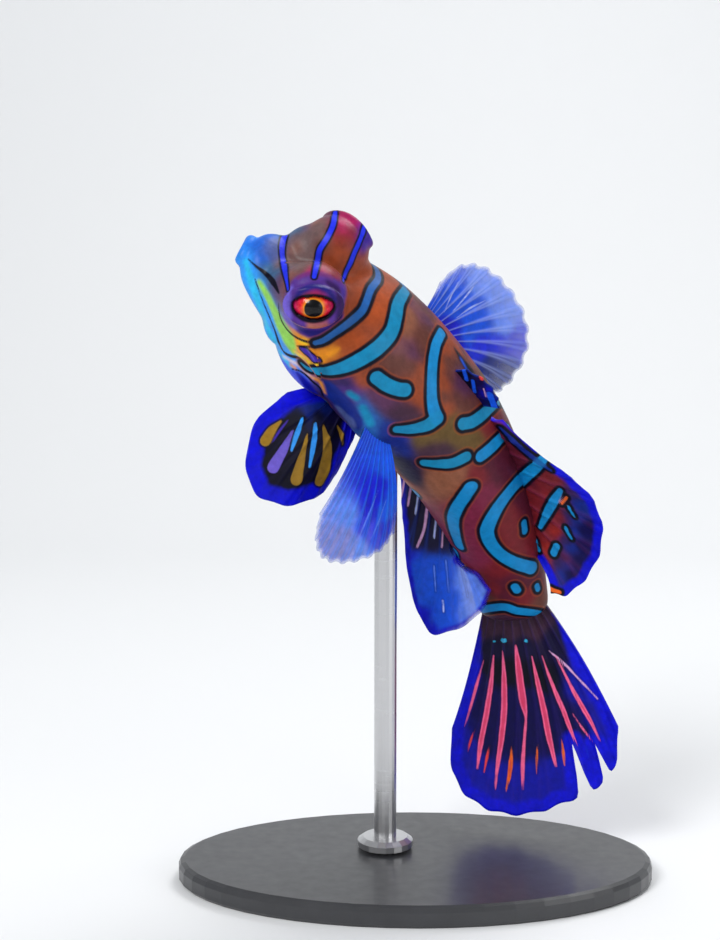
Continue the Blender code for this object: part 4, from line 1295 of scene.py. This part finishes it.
# %% First back fin
FRONT_MARKS = [
    ("azure", 2.4, [(464, 370), (467, 379)]), ("azure", 2.2, [(473, 380), (475, 391)]),
    ("coral", 2.0, [(480, 375), (482, 379)]), ("blush", 0.9, [(484, 388), (486, 396)]),
    ("azure", 3.8, [(490, 394), (493, 402), (496, 410)]), ("lilac", 0.8, [(468, 364), (472, 371)]),
]
FRONT_GROUND = [
    ("ink", [(462, 362), (470, 374), (468, 384)]), ("cobalt", [(490, 394), (495, 410)]),
    ("midnight", [(478, 384), (476, 398), (486, 402), (484, 378)]),
]
front_sheet, front_facts = fin_sheet(
    [(19.5, 0, 4.5), (23.2, 0, 4.6)],
    [(19.9, 0.2, 6.6), (21.3, 0.3, 7.5), (22.8, 0.4, 7.6), (24.0, 0.4, 7.0)],
    rays=5, rows=36, scallop=0.25)
front_finish = fin_material("front_back_fin", ("ocean", 0.12, 0.1), ("indigo", 0.3))
front_fin = fin_piece("first_dorsal_fin", front_sheet, front_facts, FRONT_MARKS, FRONT_GROUND, front_finish,
                      "fin", ray_thick=0.3, web_thick=0.2)
print("first back fin:", len(front_fin.data.polygons), "faces")

# %% Second back fin
BACK_MARKS = [
    ("lake", (3.0, 5.2, 5.2, 3.0), [(561, 489), (556, 498), (549, 510), (541, 526)]),
    ("lake", (4.5, 6.4, 6.6, 6.6), [(545, 457), (538, 465), (529, 473), (520, 481), (512, 489)]),
    ("lake", 3.8, [(536, 540), (539, 549)]), ("lake", 4.2, [(557, 546), (554, 553)]),
    ("lake", 1.7, [(569, 506), (575, 516)]), ("lake", 2.0, [(566, 527), (572, 538)]),
    ("ember", 2.2, [(546, 586), (553, 590), (560, 592)]), ("ember", 1.8, [(562, 503), (567, 497)]),
    ("ocean", (1.5, 3.2, 3.2, 1.5), [(500, 427), (512, 439), (524, 450), (538, 461), (552, 470)]),
]
BACK_GROUND = [
    ("crimson", [(540, 478), (552, 484), (530, 496), (546, 535), (552, 522), (545, 560), (560, 515)]),
    ("wine", [(535, 560), (548, 572), (566, 560), (528, 475)]),
    ("brick", [(560, 500), (556, 530), (550, 550)]),
    ("night", [(556, 461), (566, 470), (576, 480), (548, 454), (540, 448), (530, 440), (520, 432)]),
    ("dusk", [(567, 515), (566, 540), (560, 562), (571, 495)]),
    ("ocean", [(578, 503), (576, 518), (574, 532), (572, 548), (566, 564), (560, 576), (585, 512)]),
    ("midnight", [(584, 530), (582, 545), (577, 560), (590, 525), (570, 575)]),
]
back_sheet, back_facts = fin_sheet(
    [(24.5, 0, 5.0), (32.0, 0, 4.3), (39.2, 0, 3.5)],
    [(25.2, 0.3, 6.5), (28.2, 0.8, 7.9), (30.9, 1.6, 10.3), (33.4, 2.0, 11.8), (36.4, 2.2, 11.8),
     (39.5, 2.1, 10.5), (42.0, 2.1, 8.5), (43.4, 2.3, 6.4), (43.0, 2.4, 5.0)],
    rays=9, rows=56, bow=((0, 0.3, 0), (0, 0.3, 0.5)), scallop=0.2)
back_facts["thin"] = 0.65 * (1 - soft_step(0.05, 0.35, back_facts["u"]))
back_finish = fin_material("rear_back_fin", ("cobalt", 0.8, 0.25), ("plum", 0.15), outline=(1.0, 0.3))
back_fin = fin_piece("second_dorsal_fin", back_sheet, back_facts, BACK_MARKS, BACK_GROUND, back_finish, "fin")
print("second back fin:", len(back_fin.data.polygons), "faces")

# %% [markdown]
# ## Belly fin behind the vent
# This fin hangs below the rear body and turns up towards the camera. It is dark with
# pale streaks near its base, and a clear light blue where it laps over the flank.

# %% Rear belly fin
VENT_MARKS = [
    ("blush", 1.2, [(405, 476), (402, 497)]), ("blush", 1.3, [(411, 485), (408, 506)]),
    ("mist", 1.2, [(418, 494), (415, 514)]), ("blush", 1.7, [(427, 506), (424, 529), (417, 547)]),
    ("mist", 1.2, [(436, 518), (434, 538)]), ("blush", 1.2, [(443, 526), (442, 547)]),
    ("powder", 0.9, [(434, 565), (436, 591)]), ("powder", 0.9, [(446, 560), (449, 592)]),
    ("powder", 0.9, [(460, 560), (468, 596)]), ("mist", 1.2, [(443, 600), (444, 612)]),
]
VENT_GROUND = [
    ("night", [(404, 490), (408, 500), (420, 520), (412, 540), (432, 540), (440, 510), (448, 535),
        (400, 475)]),
    ("wine", [(430, 485), (442, 500), (415, 475)]),
    ("azure", [(420, 580), (425, 600), (436, 590), (415, 565), (430, 570), (445, 575), (450, 600),
        (440, 620)]),
    ("powder", [(465, 580), (480, 575), (470, 605), (490, 590), (475, 560)]),
    ("cobalt", [(432, 628), (442, 634), (422, 612), (408, 560)]),
]
vent_sheet, vent_facts = fin_sheet(
    [(26.0, 0, -4.3), (31.5, 0, -3.9), (38.2, 0, -3.4)],
    [(28.0, 0.7, -6.0), (31.2, 1.6, -6.9), (35.3, 2.6, -7.8), (39.8, 3.2, -8.5), (43.6, 3.6, -8.3),
     (46.4, 3.9, -7.2), (46.2, 4.0, -5.0), (45.0, 4.2, -2.6), (43.0, 4.4, -0.7), (41.0, 4.5, 0.3)],
    rays=8, rows=56, bow=((0, 0.3, 0), (0, 0.4, 0)), scallop=0.2, drape=True)
vent_sheer = soft_step(0.55, 0.9, vent_facts["u"]) * soft_step(0.2, 0.5, vent_facts["v"])
vent_finish = fin_material("rear_belly_fin", ("cobalt", 0.45, 0.2), ("azure", 0.2), 0.62,
                           outline=(0.3, 0.1))
vent_fin = fin_piece("anal_fin", vent_sheet, vent_facts, VENT_MARKS, VENT_GROUND, vent_finish, "fin",
                     sheer=vent_sheer)
print("rear belly fin:", len(vent_fin.data.polygons), "faces")

# %% [markdown]
# ## Front belly fins
# The pair under the throat are broad rounded fans, dark inside with olive, orange, lilac
# and sky-blue streaks between the rays, and a wide bright margin. Only the left one is
# seen in the photo, so the right one is its mirror image.

# %% Front belly fins
FAN_MARKS = [
    ("moss", (1.2, 4.5, 5.5), [(281, 421), (272, 430), (265, 441)]),
    ("violet", (0.8, 1.4, 0.8), [(288, 420), (280, 430), (272, 442)]),
    ("lilac", (1.5, 5.0, 6.4), [(292, 431), (283, 450), (273, 467)]),
    ("sky", (1.4, 3.0, 2.6, 1.2), [(302, 418), (298, 430), (294, 442), (291, 451)]),
    ("moss", (1.0, 4.6, 6.6), [(307, 434), (301, 459), (296, 479)]),
    ("sky", (2.0, 3.4, 2.8, 1.2), [(315, 424), (314, 438), (312, 452), (309, 467)]),
    ("moss", (1.6, 5.4, 6.6, 5.4), [(323, 426), (327, 446), (324, 468), (319, 481)]),
    ("moss", (1.2, 2.8, 1.4), [(337, 426), (341, 435), (342, 444)]),
]
FAN_GROUND = [
    ("ink", [(318, 415), (300, 418), (285, 428), (310, 450), (300, 470), (282, 480), (318, 470)]),
    ("ink", [(335, 430), (335, 460), (325, 490), (300, 492), (270, 470), (262, 430)]),
    ("night", [(338, 425), (345, 440)]), ("ocean", [(320, 405), (308, 410)]),
]
FAN_ROOTS = [(13.9, 3.4, -3.7), (16.0, 3.6, -3.8), (18.2, 3.7, -4.1)]
FAN_TIPS = [(10.9, 5.9, -5.1), (9.9, 9.2, -6.6), (10.9, 12.1, -7.9), (13.4, 13.9, -8.8), (16.7, 13.7, -8.7),
            (19.5, 12.2, -8.0), (20.9, 9.8, -6.9), (20.4, 7.3, -5.9), (19.9, 5.9, -5.4)]
fan_sheet, fan_facts = fin_sheet(FAN_ROOTS, FAN_TIPS, rays=8, rows=56, bow=(0, 0, 0.5), scallop=0.2)
fan_finish = fin_material("front_belly_fin", ("cobalt", 1.4, 0.25), ("night", 0.3), outline=(0.9, 0.15))
twin_sheet = fan_sheet.copy()
left_fan = fin_piece("pelvic_fin_left", fan_sheet, fan_facts, FAN_MARKS, FAN_GROUND, fan_finish, "fin")


def twin_of(sheet, painted, facts, name, material, slot):
    """The other side's fin: the same sheet mirrored, with the painted one's numbers."""
    straight = get_points(sheet) * np.array((1.0, -1.0, 1.0))
    set_points(sheet, bent(straight))
    for key in ("streak", "ray", "sheer", "margin"):
        values = np.empty(len(painted.attributes[key].data), np.float32)
        painted.attributes[key].data.foreach_get("value", values)
        keep_number(sheet, key, values)
    for key in ("streak_paint", "ground"):
        values = np.empty(len(painted.attributes[key].data) * 4, np.float32)
        painted.attributes[key].data.foreach_get("color", values)
        keep_colour(sheet, key, values.reshape(-1, 4)[:, :3])
    return walled_fin(name, sheet, facts, material, slot)


right_fan = twin_of(twin_sheet, fan_sheet, fan_facts, "pelvic_fin_right", fan_finish, "fin")
print("front belly fins:", len(left_fan.data.polygons), "and", len(right_fan.data.polygons), "faces")

# %% [markdown]
# ## Side fins
# The side fins beat fast and are nearly clear: blue rays in a pale, see-through web. The
# web's Alpha is low and the rays' is high, so what lies behind shows through faintly.

# %% Near side fin
SIDE_RAY = 0.35
SIDE_WEB = 0.12
NEAR_MARKS = [
    ("powder", (0.4, 0.9, 0.4), [(378, 490), (366, 520), (356, 545)]),
    ("powder", (0.4, 0.9, 0.4), [(386, 500), (378, 522), (370, 540)]),
]
NEAR_GROUND = [
    ("azure", [(395, 450), (388, 470), (396, 490), (385, 510)]),
    ("cobalt", [(375, 500), (380, 485), (390, 530), (370, 512)]), ("royal", [(362, 525), (372, 535)]),
    ("haze", [(345, 535), (335, 545), (350, 550)]), ("powder", [(358, 548), (350, 520)]),
    ("royal", [(385, 550), (398, 545), (400, 520)]),
]
near_sheet, near_facts = fin_sheet(
    [(17.2, 6.0, -0.3), (19.6, 6.0, -0.3)],
    [(19.9, 14.0, -4.9), (21.7, 15.8, -5.8), (24.1, 16.2, -6.0), (26.6, 14.8, -5.2), (28.2, 12.4, -3.9),
     (27.8, 10.4, -2.8)],
    rays=12, rows=56, between=10, bow=(0, 0, 0.4), scallop=0.25)
near_finish = fin_material("side_fin_near", ("azure", 0.05, 0.1), ("sky", 0.3), 0.68, outline=(0.0, 0.1))
near_fin = fin_piece("pectoral_fin_left", near_sheet, near_facts, NEAR_MARKS, NEAR_GROUND, near_finish,
                     "clear_fin", SIDE_RAY, SIDE_WEB, sheer=soft_step(0.4, 1.0, near_facts["v"]))
print("near side fin:", len(near_fin.data.polygons), "faces")

# %% Far side fin
FAR_MARKS = [
    ("mist", (0.4, 1.2, 0.4), [(452, 312), (466, 296), (478, 280)]),
    ("mist", (0.4, 1.2, 0.4), [(456, 318), (470, 308), (486, 300)]),
    ("mist", (0.4, 1.0, 0.4), [(444, 312), (450, 298), (458, 282)]),
]
FAR_GROUND = [
    ("cobalt", [(446, 325), (450, 338), (458, 345), (452, 330)]),
    ("azure", [(440, 305), (445, 290), (455, 280)]), ("powder", [(478, 284), (488, 290), (494, 302)]),
    ("azure", [(465, 300), (480, 305), (470, 315), (455, 310), (480, 325), (468, 335)]),
    ("powder", [(510, 305), (505, 325)]), ("royal", [(515, 340), (500, 345), (480, 345)]),
    ("ocean", [(492, 364), (502, 372)]),
]
far_sheet, far_facts = fin_sheet(
    [(17.8, -6.0, -0.8), (20.1, -6.0, -0.8)],
    [(16.9, -10.6, 1.8), (17.3, -12.9, 3.1), (18.9, -14.4, 4.0), (21.7, -15.1, 4.4), (25.0, -14.9, 4.3),
     (27.5, -13.4, 3.5), (28.6, -10.6, 1.9), (28.4, -8.6, 0.4)],
    rays=14, rows=56, between=10, bow=(0, 0, 0.4), scallop=0.3)
far_finish = fin_material("side_fin_far", ("azure", 0.05, 0.1), ("mist", 0.5), 0.6, outline=(0.0, 0.1))
far_fin = fin_piece("pectoral_fin_right", far_sheet, far_facts, FAR_MARKS, FAR_GROUND, far_finish,
                    "clear_fin", SIDE_RAY, SIDE_WEB, sheer=soft_step(0.45, 1.0, far_facts["v"]))
print("far side fin:", len(far_fin.data.polygons), "faces")

# %% [markdown]
# ## The stand's finishes
# The plate and the rod keep their solid shapes. The plate is wood or metal under satin
# black lacquer, with the slight ripple that lacquer leaves. The rod is brushed steel:
# stretched noise gives fine rings round it from the polishing cloth.


# %% Stand materials
def lacquer():
    material, tree, shader = new_material("satin_lacquer", Coat_Weight=0.3, Coat_Roughness=0.2)
    colour = mottled(tree, (0.028, 0.029, 0.033), 260.0, 0.3)["Colour"]
    feed(tree, colour, shader.inputs["Base Color"])
    ripple = noise(tree, {"Scale": 900.0, "Detail": 2.0})
    feed(tree, rescaled(tree, ripple, {"To Min": 0.3, "To Max": 0.48}), shader.inputs["Roughness"])
    relief(tree, shader, ripple, 0.00003, 0.4)
    return material


def brushed_steel():
    material, tree, shader = new_material("brushed_steel", Metallic=1.0, Base_Color=(0.6, 0.6, 0.61))
    place = add_node(tree, "TexCoord").outputs["Object"]
    squeezed = add_node(tree, "Mapping", {"Vector": place, "Scale": (120.0, 120.0, 9000.0)}).outputs["Vector"]
    rings = noise(tree, {"Scale": 1.0, "Detail": 4.0}, squeezed)
    feed(tree, rescaled(tree, rings, {"To Min": 0.2, "To Max": 0.42}), shader.inputs["Roughness"])
    relief(tree, shader, rings, 0.00001, 0.5)
    return material


for node, finish in (("stand_base", lacquer()), ("stand_rod", brushed_steel())):
    solid = frame["nodes"][node]
    solid.data.materials.clear()
    solid.data.materials.append(finish)
    print(node, "is finished in", finish.name)

# %% [markdown]
# ## Floor, backdrop and light
# The floor runs back and sweeps up into a backdrop, so no horizon line crosses the
# picture. A large soft light from the front left is the main one, as in the photo. A
# weaker one fills the right side, and one from above and behind draws the edges.


# %% Floor sweep
def floor_sweep(front=-0.5, turn_at=0.16, radius=0.12, height=0.7, half_width=0.9, steps=24):
    bm = bmesh.new()
    profile = [(front, 0.0), (turn_at, 0.0)]
    for step in range(1, steps + 1):
        angle = math.pi / 2 * step / steps
        profile.append((turn_at + radius * math.sin(angle), radius * (1 - math.cos(angle))))
    profile.append((turn_at + radius, height))
    verts = [bm.verts.new((-half_width, y, z - 0.00003)) for y, z in profile]
    edges = [bm.edges.new(pair) for pair in zip(verts, verts[1:])]
    made = bmesh.ops.extrude_edge_only(bm, edges=edges)
    moved = [item for item in made["geom"] if isinstance(item, bmesh.types.BMVert)]
    bmesh.ops.translate(bm, verts=moved, vec=(2 * half_width, 0, 0))
    mesh = mesh_of(bm, "floor_sweep")
    mesh.shade_smooth()
    sweep = bpy.data.objects.new("floor_sweep", mesh)
    bpy.context.scene.collection.objects.link(sweep)
    return sweep


paper, _, _ = new_material("pale_paper", Roughness=0.9, Base_Color=(0.8, 0.81, 0.82))
sweep = floor_sweep()
sweep.data.materials.append(paper)
print("floor sweep:", len(sweep.data.polygons), "faces")


# %% Lights
def soft_light(name, place, aim, size, watts, colour=(1, 1, 1)):
    lamp = bpy.data.lights.new(name, "AREA")
    lamp.shape = "DISK"
    lamp.size = size
    lamp.energy = watts
    lamp.color = colour
    light = bpy.data.objects.new(name, lamp)
    way = Vector(aim) - Vector(place)
    light.matrix_world = Matrix.Translation(place) @ way.to_track_quat("-Z", "Y").to_matrix().to_4x4()
    bpy.context.scene.collection.objects.link(light)


soft_light("main_light", (-0.18, -0.24, 0.28), (0, 0, 0.035), 0.16, 1.0)
soft_light("fill_light", (0.28, -0.2, 0.12), (0, 0, 0.035), 0.25, 0.32)
soft_light("edge_light", (0.1, 0.12, 0.3), (0, 0, 0.035), 0.16, 0.5)
world = bpy.data.worlds.new("studio")
world.use_nodes = True
world.node_tree.nodes["Background"].inputs["Color"].default_value = (0.95, 0.97, 1.0, 1.0)
world.node_tree.nodes["Background"].inputs["Strength"].default_value = 0.38
bpy.context.scene.world = world
bpy.context.scene.view_settings.view_transform = "Standard"
print("lights:", [light.name for light in bpy.data.lights])

# %% [markdown]
# ## The end
# The workshop collection, which held the forms while they were worked on, is removed.
# The fine surfaces must stay inside the solids' box.

# %% Clearing the workshop
bpy.data.collections.remove(workshop)
bpy.context.view_layer.update()
